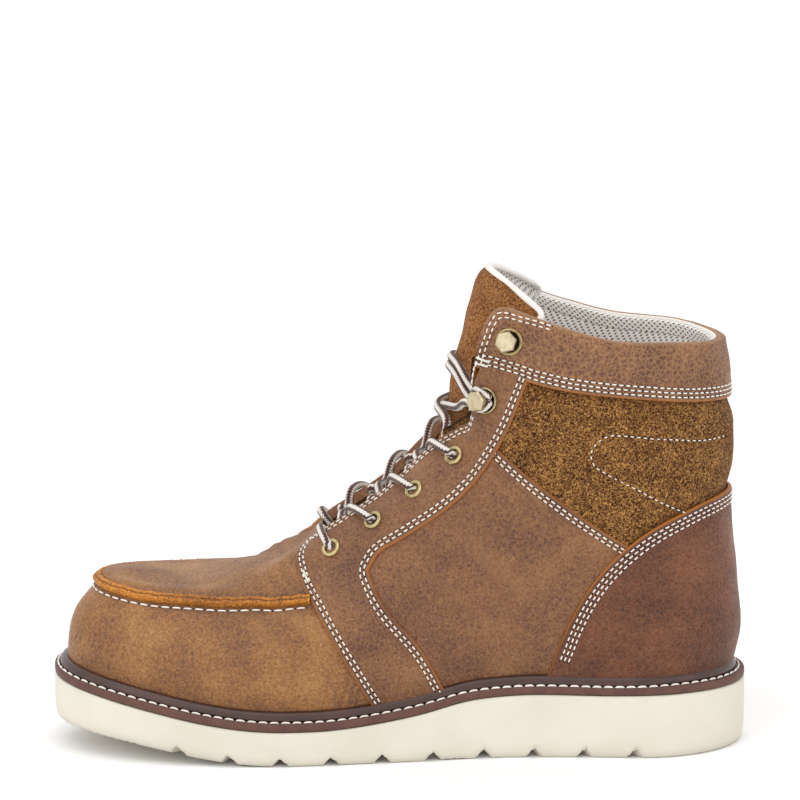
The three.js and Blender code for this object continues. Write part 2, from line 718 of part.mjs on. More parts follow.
// Tongue: places of its centre line, its half-width and how far its edges lie back and down from it
const tongueRows = [
  { at: 0.00, x: 0.347 * upperLength, z: 0.49 * instepHeight, half: 0.75, back: 0.07, down: 0.40 },
  { at: 0.09, x: 0.383 * upperLength, z: 0.585 * instepHeight, half: 0.84, back: 0.18, down: 0.55 },
  { at: 0.23, x: 0.438 * upperLength, z: 0.730 * instepHeight, half: 0.90, back: 0.33, down: 0.60 },
  { at: 0.37, x: 0.504 * upperLength, z: 0.893 * instepHeight, half: 0.93, back: 0.44, down: 0.63 },
  { at: 0.49, x: 0.553 * upperLength, z: 1.045 * instepHeight, half: 0.96, back: 0.63, down: 0.60 },
  { at: 0.59, x: 0.573 * upperLength, z: 0.775 * shaftHeight, half: 1.00, back: 0.81, down: 0.44 },
  { at: 0.69, x: 0.580 * upperLength, z: 0.893 * shaftHeight, half: 1.01, back: 0.93, down: 0.33 },
  { at: 0.80, x: 0.594 * upperLength, z: 1.007 * shaftHeight, half: 1.00, back: 1.00, down: 0.33 },
  { at: 0.90, x: 0.608 * upperLength, z: 1.113 * shaftHeight, half: 0.985, back: 1.00, down: 0.41 },
  { at: 0.97, x: 0.621 * upperLength, z: 1.200 * shaftHeight, half: 0.97, back: 0.96, down: 0.55 },
  { at: 1.00, x: 0.631 * upperLength, z: 1.220 * shaftHeight, half: 0.95, back: 0.93, down: 0.60 },
];
const tongueBow = 1.75;
const tongueDroop = 2.1;
const tongueSteps = 12;
const tongueAcross = 8;

// Outside of the tongue: up runs from its root to its top edge, across from inner to outer side
function tonguePoint(up, across) {
  const value = (column) => along(tongueRows, column, up);
  const x = upperToe + value('x') + value('back') * tongueWrap * Math.abs(across) ** tongueBow;
  const z = sideZ(value('z')) - value('down') * tongueWrap * Math.abs(across) ** tongueDroop;
  return new THREE.Vector3(x, across * value('half') * throatGap, z);
}

function tongueNormal(up, across) {
  const step = 0.01;
  const clampUp = (t) => Math.min(Math.max(t, 0), 1);
  const run = tonguePoint(up, across + step).sub(tonguePoint(up, across - step));
  const rise = tonguePoint(clampUp(up + step), across).sub(tonguePoint(clampUp(up - step), across));
  return rise.cross(run).normalize();
}

// Room that the leather of upper and overlays takes, with its gap to either side
const leatherRooms = [-1.5 * gap, 0, 1.5 * gap].map((aside) => (
  skin(-upperWall - gap, overlayHigh + gap).translate([0, aside, 0])
));

const clearOf = (body, rooms) => rooms.reduce((rest, room) => rest.subtract(room), body);

function tongueBody() {
  const facets = new Facets();
  const grid = (depthOf) => Array.from({ length: tongueSteps + 1 }, (_, i) => (
    Array.from({ length: tongueAcross + 1 }, (__, j) => {
      const up = i / tongueSteps;
      const across = 2 * j / tongueAcross - 1;
      return tonguePoint(up, across).addScaledVector(tongueNormal(up, across), -depthOf(up, across));
    })
  ));
  const outside = grid(() => 0);
  const inside = grid((up, across) => tongueThickness * (1 - 0.45 * across ** 4) * (up === 1 ? 0.6 : 1));
  for (let i = 0; i < tongueSteps; i += 1) {
    for (let j = 0; j < tongueAcross; j += 1) {
      facets.quad(outside[i][j], outside[i + 1][j], outside[i + 1][j + 1], outside[i][j + 1]);
      facets.quad(inside[i][j], inside[i][j + 1], inside[i + 1][j + 1], inside[i + 1][j]);
    }
    const end = tongueAcross;
    facets.quad(outside[i][0], inside[i][0], inside[i + 1][0], outside[i + 1][0]);
    facets.quad(outside[i][end], outside[i + 1][end], inside[i + 1][end], inside[i][end]);
  }
  for (let j = 0; j < tongueAcross; j += 1) {
    const top = tongueSteps;
    facets.quad(outside[0][j], outside[0][j + 1], inside[0][j + 1], inside[0][j]);
    facets.quad(outside[top][j], inside[top][j], inside[top][j + 1], outside[top][j + 1]);
  }
  return mainBody(clearOf(solid(facets.geometry()), leatherRooms));
}

// Places of the eyelets and hooks in the side view
const eyeletRows = [
  { x: 0.4015, z: 0.618 * instepHeight },
  { x: 0.465, z: 0.753 * instepHeight },
  { x: 0.5265, z: 0.905 * instepHeight },
  { x: 0.5855, z: 1.067 * instepHeight },
];
const hookRows = [
  { x: 0.632, z: 0.857 * shaftHeight, rests: overlayHigh },
  { x: 0.665, z: 1.031 * shaftHeight, rests: gap + collarFullness },
];

// Where a fitting sits on the leather and which way it points
function seatOf(side, row, rests) {
  const { turn, place } = locate(side, sideX(row.x), sideZ(row.z));
  const normal = lastNormal(side, turn, place);
  return { point: raised(side, turn, place, rests + gap), normal };
}

function placed(geometry, seat) {
  const turned = new THREE.Quaternion().setFromUnitVectors(new THREE.Vector3(0, 0, 1), seat.normal);
  return geometry.clone().applyQuaternion(turned).translate(seat.point.x, seat.point.y, seat.point.z);
}

// A turned ring from radii and heights that close on themselves
function turned(profile, sides) {
  const points = profile.map(([radius, height]) => new THREE.Vector2(radius, height));
  points.push(points[0].clone());
  const geometry = new THREE.LatheGeometry(points, sides);
  return geometry.rotateX(Math.PI / 2);
}

const barrelDepth = gap + overlayThickness + upperWall;
const eyeletShape = turned([
  [eyeletHole, -barrelDepth],
  [eyeletHole + eyeletBarrel, -barrelDepth],
  [eyeletHole + eyeletBarrel, 0],
  [eyeletRadius, 0],
  [0.75 * eyeletRadius, eyeletFlange],
  [eyeletHole + 0.6 * eyeletBarrel, 0.9 * eyeletFlange],
], roundSides);

// A round pillar at a fitting's seat, between two heights over the leather
function pillar(seat, radius, from, to) {
  const shape = new THREE.CylinderGeometry(radius, radius, to - from, roundSides);
  return solid(placed(shape.rotateX(Math.PI / 2).translate(0, 0, (from + to) / 2), seat));
}

// Hole of an eyelet, with the flat that its flange presses into the leather
function eyeletHoleBody(side, row) {
  const seat = seatOf(side, row, overlayHigh);
  const hole = pillar(seat, eyeletHole + eyeletBarrel + gap, -2 * barrelDepth, 2 * barrelDepth);
  return hole.add(pillar(seat, eyeletRadius + gap, -gap, 2 * overlayThickness));
}

function withEyeletHoles(body, side) {
  return eyeletRows.reduce((cut, row) => cut.subtract(eyeletHoleBody(side, row)), body);
}

// Flats that the washers of the hooks press into the leather
function withHookSeats(body, side) {
  return hookRows.reduce((cut, row) => (
    cut.subtract(pillar(seatOf(side, row, row.rests), washerRadius + gap, -gap, studLength))
  ), body);
}

const washerShape = turned([
  [studPost + gap, 0],
  [washerRadius, 0],
  [washerRadius, 0.7 * washerThickness],
  [0.88 * washerRadius, washerThickness],
  [studPost + gap, 0.75 * washerThickness],
], roundSides);

// Hook stud: a round post under a six-sided head
function studGeometry() {
  const post = new THREE.CylinderGeometry(studPost, studPost, studLength - studHead / 2, roundSides);
  post.rotateX(Math.PI / 2).translate(0, 0, (studLength - studHead / 2) / 2);
  const radius = studAcrossCorners / 2;
  const head = new THREE.CylinderGeometry(0.93 * radius, radius, studHead, 6);
  head.rotateX(Math.PI / 2).rotateZ(0.2).translate(0, 0, studLength - studHead / 2);
  return geometryOf(solid(post).add(solid(head)));
}
const studShape = studGeometry();

// Turn of the throat's edge that stands at x
function throatTurn(x) {
  let [low, high] = [turnOf(ridgeEnd), turnOf(0.77)];
  for (let i = 0; i < 30; i += 1) {
    const middle = (low + high) / 2;
    if (toplinePoint(inner, shareOf(middle))[0] < x) low = middle;
    else high = middle;
  }
  return (low + high) / 2;
}

// Height up the tongue at which its centre line stands at x
function tongueUp(x) {
  let [low, high] = [0, 1];
  for (let i = 0; i < 30; i += 1) {
    const middle = (low + high) / 2;
    if (tonguePoint(middle, 0).x < x) low = middle;
    else high = middle;
  }
  return (low + high) / 2;
}

const laceRest = laceRadius + gap;

// Room that eyelets and hooks take, with their gap
const fittingRooms = [inner, outer].flatMap((side) => [
  ...eyeletRows.map((row) => (
    pillar(seatOf(side, row, overlayHigh), eyeletRadius + gap, -gap, eyeletFlange + gap)
  )),
  ...hookRows.flatMap((row) => {
    const seat = seatOf(side, row, row.rests);
    return [
      pillar(seat, washerRadius + gap, -gap, washerThickness + gap),
      pillar(seat, studPost + 1.5 * gap, 0, studLength),
      pillar(seat, studAcrossCorners / 2 + gap, studLength - studHead - gap, studLength + gap),
    ];
  }),
]);

// A point of the lace over the tongue
const overTongue = (up, across, height) => tonguePoint(up, across)
  .addScaledVector(tongueNormal(up, across), height);

function strand(points) {
  const curve = new THREE.CatmullRomCurve3(points, false, 'centripetal');
  const section = new THREE.Shape();
  for (let i = 0; i < cordSides; i += 1) {
    const angle = 2 * Math.PI * (i + 0.5) / cordSides;
    const [x, y] = [laceRadius * Math.cos(angle), laceRadius * Math.sin(angle)];
    if (i === 0) section.moveTo(x, y);
    else section.lineTo(x, y);
  }
  const steps = Math.ceil(curve.getLength() / (4.6 * laceRadius));
  return solid(new THREE.ExtrudeGeometry(section, { extrudePath: curve, steps, bevelEnabled: false }));
}

const wings = [wingBody(inner), wingBody(outer)];
const wingRooms = wings.flatMap((wing) => [-gap, 0, gap].map((aside) => wing.translate([0, aside, 0])));

// Lace strands joined, and pressed flat where they lie on leather and fittings
function laceBody(strands) {
  const joined = strands.reduce((all, one) => all.add(one));
  return mainBody(clearOf(joined, [...leatherRooms, ...wingRooms, ...fittingRooms]));
}

// Over the leather from an eyelet to the throat's edge
function outOfEyelet(side, row, edgeX) {
  const seat = seatOf(side, row, overlayHigh);
  const start = seat.point.clone().addScaledVector(seat.normal, eyeletFlange + gap + laceRadius);
  const edge = raised(side, throatTurn(edgeX), 0.97, overlayHigh + laceRest + 0.25 * laceRadius);
  return [start, edge];
}

// Just inside the throat's edge, where a strand goes under the leather
function intoThroat(side, edgeX) {
  const edge = raised(side, throatTurn(edgeX), 1, 0.25 * laceRadius);
  edge.y -= side * 1.6 * laceRadius;
  return edge;
}

// Crossing: a strand from each side's eyelet goes over the tongue and under the other edge
function laceCrossing(row, edgeShare, diveShare) {
  const edgeX = sideX(edgeShare);
  const diveX = sideX(diveShare);
  const up = tongueUp((edgeX + diveX) / 2);
  const strands = [inner, outer].map((side, i) => {
    const middle = overTongue(up, 0, laceRest + i * laceRadius);
    return strand([...outOfEyelet(side, row, edgeX), middle, intoThroat(-side, diveX)]);
  });
  return geometryOf(laceBody(strands));
}

const crossings = [
  { row: eyeletRows[1], edge: 0.435, dive: 0.411 },
  { row: eyeletRows[2], edge: 0.500, dive: 0.456 },
  { row: eyeletRows[3], edge: 0.560, dive: 0.512 },
];

// Bottom bar, straight across between the lowest eyelets
function laceBarGeometry() {
  const edgeX = sideX(0.385);
  const row = eyeletRows[0];
  const over = overTongue(tongueUp(sideX(0.40)), 0, 1.7 * laceRadius);
  const [startInner, edgeInner] = outOfEyelet(inner, row, edgeX);
  const [startOuter, edgeOuter] = outOfEyelet(outer, row, edgeX);
  return geometryOf(laceBody([strand([startInner, edgeInner, over, edgeOuter, startOuter])]));
}

// Beside a hook's post, a little under its head
function besideHook(side, row, alongX, alongZ) {
  const seat = seatOf(side, row, row.rests);
  const height = washerThickness + laceRest;
  const reach = studPost + 1.37 * laceRadius;
  const way = new THREE.Vector3(alongX, 0, alongZ);
  way.addScaledVector(seat.normal, -way.dot(seat.normal)).normalize();
  return seat.point.clone().addScaledVector(seat.normal, height).addScaledVector(way, reach);
}

// Crossing under the lower hooks: from each throat edge round the tongue's front to the other hook
function hookCrossingGeometry() {
  const strands = [inner, outer].map((side, i) => {
    const lift = laceRest + i * laceRadius;
    return strand([
      intoThroat(side, sideX(0.568)),
      overTongue(0.57, side * 0.40, 1.7 * laceRadius),
      overTongue(0.605, 0, lift + 1.5 * gap),
      overTongue(0.63, -side * 0.45, 1.7 * laceRadius),
      besideHook(-side, hookRows[0], -0.5, -1),
    ]);
  });
  return geometryOf(laceBody(strands));
}

// Strands that lie side by side round the tongue's front, from one lower hook to the other
function hookPairGeometry() {
  const lie = 1.6 * laceRadius;
  const run = (up, hookWay) => strand([
    besideHook(inner, hookRows[0], ...hookWay),
    overTongue(up - 0.01, -0.6, 1.1 * lie),
    overTongue(up + 0.035, -0.28, lie),
    overTongue(up + 0.045, 0, lie),
    overTongue(up + 0.035, 0.28, lie),
    overTongue(up - 0.01, 0.6, 1.1 * lie),
    besideHook(outer, hookRows[0], ...hookWay),
  ]);
  const upper = run(0.722, [-0.2, 1]);
  const lower = run(0.70, [-1, 0.5]);
  return geometryOf(laceBody([upper, lower]));
}

function part(name, geometry, color, roughness, metalness = 0) {
  const flat = geometry.index ? geometry.toNonIndexed() : geometry;
  flat.deleteAttribute('normal');
  flat.deleteAttribute('uv');
  const merged = tidy(mergeVertices(flat, 1e-4));
  merged.computeVertexNormals();
  const mesh = new THREE.Mesh(merged, new THREE.MeshStandardMaterial({ color, roughness, metalness }));
  mesh.name = name;
  return mesh;
}

const boot = new THREE.Group();
boot.add(part('outsole', outsoleGeometry(), '#ebe5d6', 0.8));
boot.add(part('welt', weltGeometry(), '#5e3f3a', 0.6));
boot.add(part('storm_bead', beadGeometry(), '#3a211a', 0.35));
boot.add(part('insole', insoleGeometry(), '#c9b9a0', 0.9));
boot.add(part('upper', geometryOf(upperBody()), '#a0713f', 0.55));
boot.add(part('ankle_panel', anklePanelGeometry(), '#a0692a', 0.95));
boot.add(part('plug', plugGeometry(), '#a0713f', 0.55));
boot.add(part('moc_seam', mocSeamGeometry(), '#d98a2b', 0.7));
boot.add(part('eyestay_inner', geometryOf(wings[0]), '#946a45', 0.55));
boot.add(part('eyestay_outer', geometryOf(wings[1]), '#946a45', 0.55));
boot.add(part('heel_counter', counterGeometry(), '#84502f', 0.5));
boot.add(part('collar', geometryOf(collarBody()), '#946a45', 0.55));
boot.add(part('tongue', geometryOf(tongueBody()), '#b0713a', 0.95));
[[inner, 'inner'], [outer, 'outer']].forEach(([side, name]) => {
  eyeletRows.forEach((row, i) => {
    boot.add(part(`eyelet_${name}_${i + 1}`, placed(eyeletShape, seatOf(side, row, overlayHigh)), '#b8a878', 0.35, 1));
  });
  hookRows.forEach((row, i) => {
    const seat = seatOf(side, row, row.rests);
    boot.add(part(`hook_washer_${name}_${i + 1}`, placed(washerShape, seat), '#3a3630', 0.4, 1));
    boot.add(part(`hook_stud_${name}_${i + 1}`, placed(studShape, seat), '#b5a684', 0.35, 1));
  });
});
boot.add(part('lace_bar', laceBarGeometry(), '#e6dcd0', 0.9));
crossings.forEach(({ row, edge, dive }, i) => {
  boot.add(part(`lace_crossing_${i + 1}`, laceCrossing(row, edge, dive), '#e6dcd0', 0.9));
});
boot.add(part('lace_hook_crossing', hookCrossingGeometry(), '#e6dcd0', 0.9));
boot.add(part('lace_hook_pair', hookPairGeometry(), '#e6dcd0', 0.9));

export default boot;
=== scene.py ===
"""Looks of a right wedge sole work boot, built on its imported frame.

Sizes in the classes are millimetres in the part's frame: +X to the heel, +Y to the outer side of
the foot and +Z up. A place on the leather is a turn round the foot (0 at the toe, 1 at the heel
along the inner side, 2 at the toe again along the outer side) and a place up the foot (0 at the
feather line, 1 at the topline). The mesh maker turns millimetres to metres.
"""

import logging
import math
from dataclasses import dataclass, field
from enum import Enum

import bpy
import numpy as np
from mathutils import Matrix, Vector


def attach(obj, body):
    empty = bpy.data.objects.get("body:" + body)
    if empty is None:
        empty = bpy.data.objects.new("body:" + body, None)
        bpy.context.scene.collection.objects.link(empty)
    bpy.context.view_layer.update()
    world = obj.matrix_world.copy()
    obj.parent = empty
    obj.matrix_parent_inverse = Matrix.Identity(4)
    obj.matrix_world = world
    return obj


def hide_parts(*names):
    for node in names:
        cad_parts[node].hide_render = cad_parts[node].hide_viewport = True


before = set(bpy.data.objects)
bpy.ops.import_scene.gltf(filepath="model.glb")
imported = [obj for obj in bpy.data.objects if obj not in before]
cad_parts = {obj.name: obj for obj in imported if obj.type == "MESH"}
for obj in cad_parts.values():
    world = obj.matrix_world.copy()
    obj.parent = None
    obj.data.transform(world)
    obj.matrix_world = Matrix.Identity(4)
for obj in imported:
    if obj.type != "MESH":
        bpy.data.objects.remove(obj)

Array = np.ndarray
log = logging.getLogger("boot")
MM = 0.001
ROW_SMOOTHING = 0.014


class Side(Enum):
    """Side of the foot, with its sign along Y."""

    INNER = -1
    OUTER = 1


def hermite(span: Array, share: Array, a: Array, b: Array, slope_a: Array, slope_b: Array) -> Array:
    """Cubic between two values with a slope at each end.

    Formula: the four cubic blending weights of the share, times value a, slope a, value b, slope b.

    Args:
        span: Length of the interval.
        share: How far along the interval, 0 to 1.
        a: Value at the start.
        b: Value at the end.
        slope_a: Slope at the start.
        slope_b: Slope at the end.

    Returns:
        The values at the shares.
    """
    s2, s3 = share * share, share**3
    start = (2 * s3 - 3 * s2 + 1) * a + (s3 - 2 * s2 + share) * span * slope_a
    return start + (3 * s2 - 2 * s3) * b + (s3 - s2) * span * slope_b


def parabolic_slopes(at: Array, values: Array) -> Array:
    """Slopes at the knots of a run of values, from the parabola through each knot and its mates.

    Args:
        at: Places of the knots, growing.
        values: Values at the knots, along the first axis.

    Returns:
        Slopes of the same shape as the values.
    """
    gaps = np.diff(at).reshape(-1, *([1] * (values.ndim - 1)))
    secants = np.diff(values, axis=0) / gaps
    before, after = gaps[:-1], gaps[1:]
    middle = (secants[:-1] * after + secants[1:] * before) / (before + after)
    return np.concatenate([secants[:1], middle, secants[-1:]])


def smooth_path(corners: list[tuple[float, ...]] | Array, count: int) -> Array:
    """Smooth path through a few corners, spaced evenly along it.

    Formula: cubics between the corners over their chord length, then points at equal arc lengths.

    Args:
        corners: Corner points of any dimension.
        count: Number of points wanted.

    Returns:
        Points of shape (count, dimension).
    """
    points = np.asarray(corners, float)
    at = arc_of(points)
    slopes = parabolic_slopes(at, points)
    dense = np.linspace(0, at[-1], 12 * len(points) + 200)
    i = np.clip(np.searchsorted(at, dense, side="left") - 1, 0, len(at) - 2)
    span = (at[i + 1] - at[i])[:, None]
    share = (dense - at[i])[:, None] / span
    curve = hermite(span, share, points[i], points[i + 1], slopes[i], slopes[i + 1])
    return evenly(curve, count)


def evenly(path: Array, count: int) -> Array:
    """The same path with points at equal arc lengths.

    Args:
        path: Points of shape (n, dimension).
        count: Number of points wanted.

    Returns:
        Points of shape (count, dimension).
    """
    arc = arc_of(path)
    return read_rows(np.linspace(0, arc[-1], count), arc, path)


def arc_of(path: Array) -> Array:
    """Length along a path up to each of its points."""
    return np.concatenate([[0], np.cumsum(np.linalg.norm(np.diff(path, axis=0), axis=1))])


def read_rows(want: Array, at: Array, rows: Array) -> Array:
    """Rows read between their places by straight lines, with the columns on the last axis."""
    return np.stack([np.interp(want, at, rows[:, k]) for k in range(rows.shape[1])], -1)


def averaged(rows: Array, width: int) -> Array:
    """Each row as the mean of an odd number of rows round it, with the end rows repeated."""
    share = np.ones(width) / width
    ends = np.pad(rows, ((width // 2, width // 2), (0, 0)), "edge")
    return np.stack([np.convolve(column, share, "valid") for column in ends.T], -1)


def smoothstep(low: float, high: float, value: Array) -> Array:
    """Smooth rise from 0 at low to 1 at high: 3k squared minus 2k cubed of the clipped share k."""
    k = np.clip((value - low) / (high - low), 0, 1)
    return k * k * (3 - 2 * k)


def unit(vectors: Array) -> Array:
    """Vectors of length one along the last axis."""
    return vectors / np.maximum(np.linalg.norm(vectors, axis=-1, keepdims=True), 1e-9)


def ripple(points: Array, wave: float, seed: float = 0.0) -> Array:
    """Slow irregular waves between about -1 and 1.

    Formula: mean of five sines of the point's products with fixed slanted directions over the wave
    length, each direction a little steeper than the last.

    Args:
        points: Points in millimetres.
        wave: Wave length in millimetres.
        seed: Shift of the phases, so that two runs differ.

    Returns:
        One value a point.
    """
    k = np.arange(5)
    angles = np.stack([np.cos(2.4 * k + seed), np.sin(3.1 * k + seed), np.cos(1.3 * k - seed)], -1)
    phases = points @ (unit(angles) * (1 + 0.23 * k)[:, None]).T * (2 * math.pi / wave)
    return np.sin(phases + 1.7 * k + seed).mean(-1) * 1.6


@dataclass(frozen=True)
class Table:
    """Rows of sizes along a share, read smoothly between the rows.

    Args:
        names: Column names; the first is the share.
        rows: One tuple a row.
    """

    names: str
    rows: tuple[tuple[float, ...], ...]

    def column(self, name: str) -> Array:
        """The rows' values in one column."""
        return np.array([row[self.names.split().index(name)] for row in self.rows])

    def __call__(self, name: str, share: Array) -> Array:
        """Smooth value of a column, by cubics over the rows.

        Args:
            name: Column to read.
            share: Shares to read it at.

        Returns:
            Values of the same shape as the shares.
        """
        at, values = self.column("at"), self.column(name)
        slopes = parabolic_slopes(at, values)
        t = np.clip(share, at[0], at[-1])
        i = np.clip(np.searchsorted(at, t, side="left") - 1, 0, len(at) - 2)
        span = at[i + 1] - at[i]
        return hermite(span, (t - at[i]) / span, values[i], values[i + 1], slopes[i], slopes[i + 1])


BALL = 112.0
TOE_BOX = 43.0
INSTEP = 95.5
SHAFT = 150.0
THROAT = 32.0

HALF_WIDTHS = Table("at sole feather bulge wall seam instep", (
    (0.00, 0.89, 0.79, 0.82, 0.76, 0.66, 0.42),
    (0.15, 0.95, 0.84, 0.88, 0.81, 0.625, 0.36),
    (0.32, 1.00, 0.885, 0.93, 0.86, 0.665, 0.41),
    (0.50, 0.865, 0.755, 0.80, 0.80, 0.73, 0.57),
    (0.65, 0.72, 0.635, 0.685, 0.715, 0.725, 0.665),
    (0.75, 0.71, 0.62, 0.67, 0.70, 0.715, 0.705),
    (0.87, 0.735, 0.65, 0.69, 0.70, 0.70, 0.705),
    (1.00, 0.72, 0.64, 0.68, 0.68, 0.67, 0.68),
))
HEIGHTS = Table("at feather bulge wall seam instep", (
    (0.00, 0, 0.30, 0.62, 0.93, 0.985),
    (0.15, 0, 0.29, 0.62, 0.925, 0.985),
    (0.32, 0, 0.235, 0.49, 0.712, 0.885),
    (0.50, 0, 0.19, 0.40, 0.62, 0.835),
    (0.75, 0, 0.105, 0.26, 0.45, 0.69),
    (1.00, 0, 0.125, 0.285, 0.49, 0.73),
))
RINGS = {
    "sole": (0, 1, 0, 0.32, 2.4, 0.15),
    "feather": (0, 1, 0, 0.32, 2.4, 0.15),
    "bulge": (0.001, 1.012, 0, 0.32, 2.4, 0.15),
    "wall": (0.013, 1.006, 0.01, 0.29, 2.3, 0.15),
    "seam": (0.049, 0.997, 0.03, 0.21, 2, 0.15),
    "instep": (0.066, 1.001, 0.085, 0.2, 2, 0.15),
}
RING_NAMES = ("feather", "bulge", "wall", "seam", "instep")
RING_PLACES = np.array([0, 0.14, 0.32, 0.50, 0.73, 1.0])
OUTER_FULLNESS = Table("at full", (
    (0.00, 1.00), (0.20, 0.975), (0.38, 1.015), (0.52, 1.06), (0.66, 1.07), (0.85, 1.01), (1.00, 1.00),
))
SOLE = Table("at spring wedge", (
    (0.00, 1.00, 0.31), (0.06, 0.83, 0.19), (0.14, 0.56, 0.07), (0.22, 0.23, 0.03), (0.28, 0.06, 0.01),
    (0.33, 0, 0), (0.40, 0, 0.02), (0.46, 0, 0.17), (0.53, 0, 0.46), (0.60, 0, 0.86),
    (0.66, 0, 0.99), (0.80, 0, 0.98), (0.92, 0, 1.03), (1.00, 0, 1.00),
))
TOPLINE = Table("at x half rise", (
    (0.000, 0.095, 0, 0.95 * TOE_BOX),
    (0.120, 0.185, 0, 1.055 * TOE_BOX),
    (0.220, 0.275, 0, 1.285 * TOE_BOX),
    (0.262, 0.322, 0, 1.42 * TOE_BOX),
    (0.300, 0.365, 0, 1.635 * TOE_BOX),
    (0.340, 0.378, 0.34 * THROAT, 1.73 * TOE_BOX),
    (0.370, 0.392, 0.41 * THROAT, 0.82 * INSTEP),
    (0.430, 0.430, 0.43 * THROAT, 0.89 * INSTEP),
    (0.500, 0.484, 0.43 * THROAT, 0.977 * INSTEP),
    (0.580, 0.550, 0.48 * THROAT, 1.12 * INSTEP),
    (0.635, 0.596, 0.69 * THROAT, 0.765 * SHAFT),
    (0.675, 0.613, 0.84 * THROAT, 0.80 * SHAFT),
    (0.715, 0.618, 0.90 * THROAT, 0.96 * SHAFT),
    (0.745, 0.630, 0.94 * THROAT, 1.08 * SHAFT),
    (0.772, 0.651, 0.2625 * BALL, 1.127 * SHAFT),
    (0.800, 0.683, 0.2825 * BALL, 1.115 * SHAFT),
    (0.840, 0.742, 0.305 * BALL, 1.075 * SHAFT),
    (0.885, 0.820, 0.32 * BALL, 1.03 * SHAFT),
    (0.940, 0.915, 0.325 * BALL, 1.015 * SHAFT),
    (1.000, 0.981, 0.32 * BALL, 1.00 * SHAFT),
))


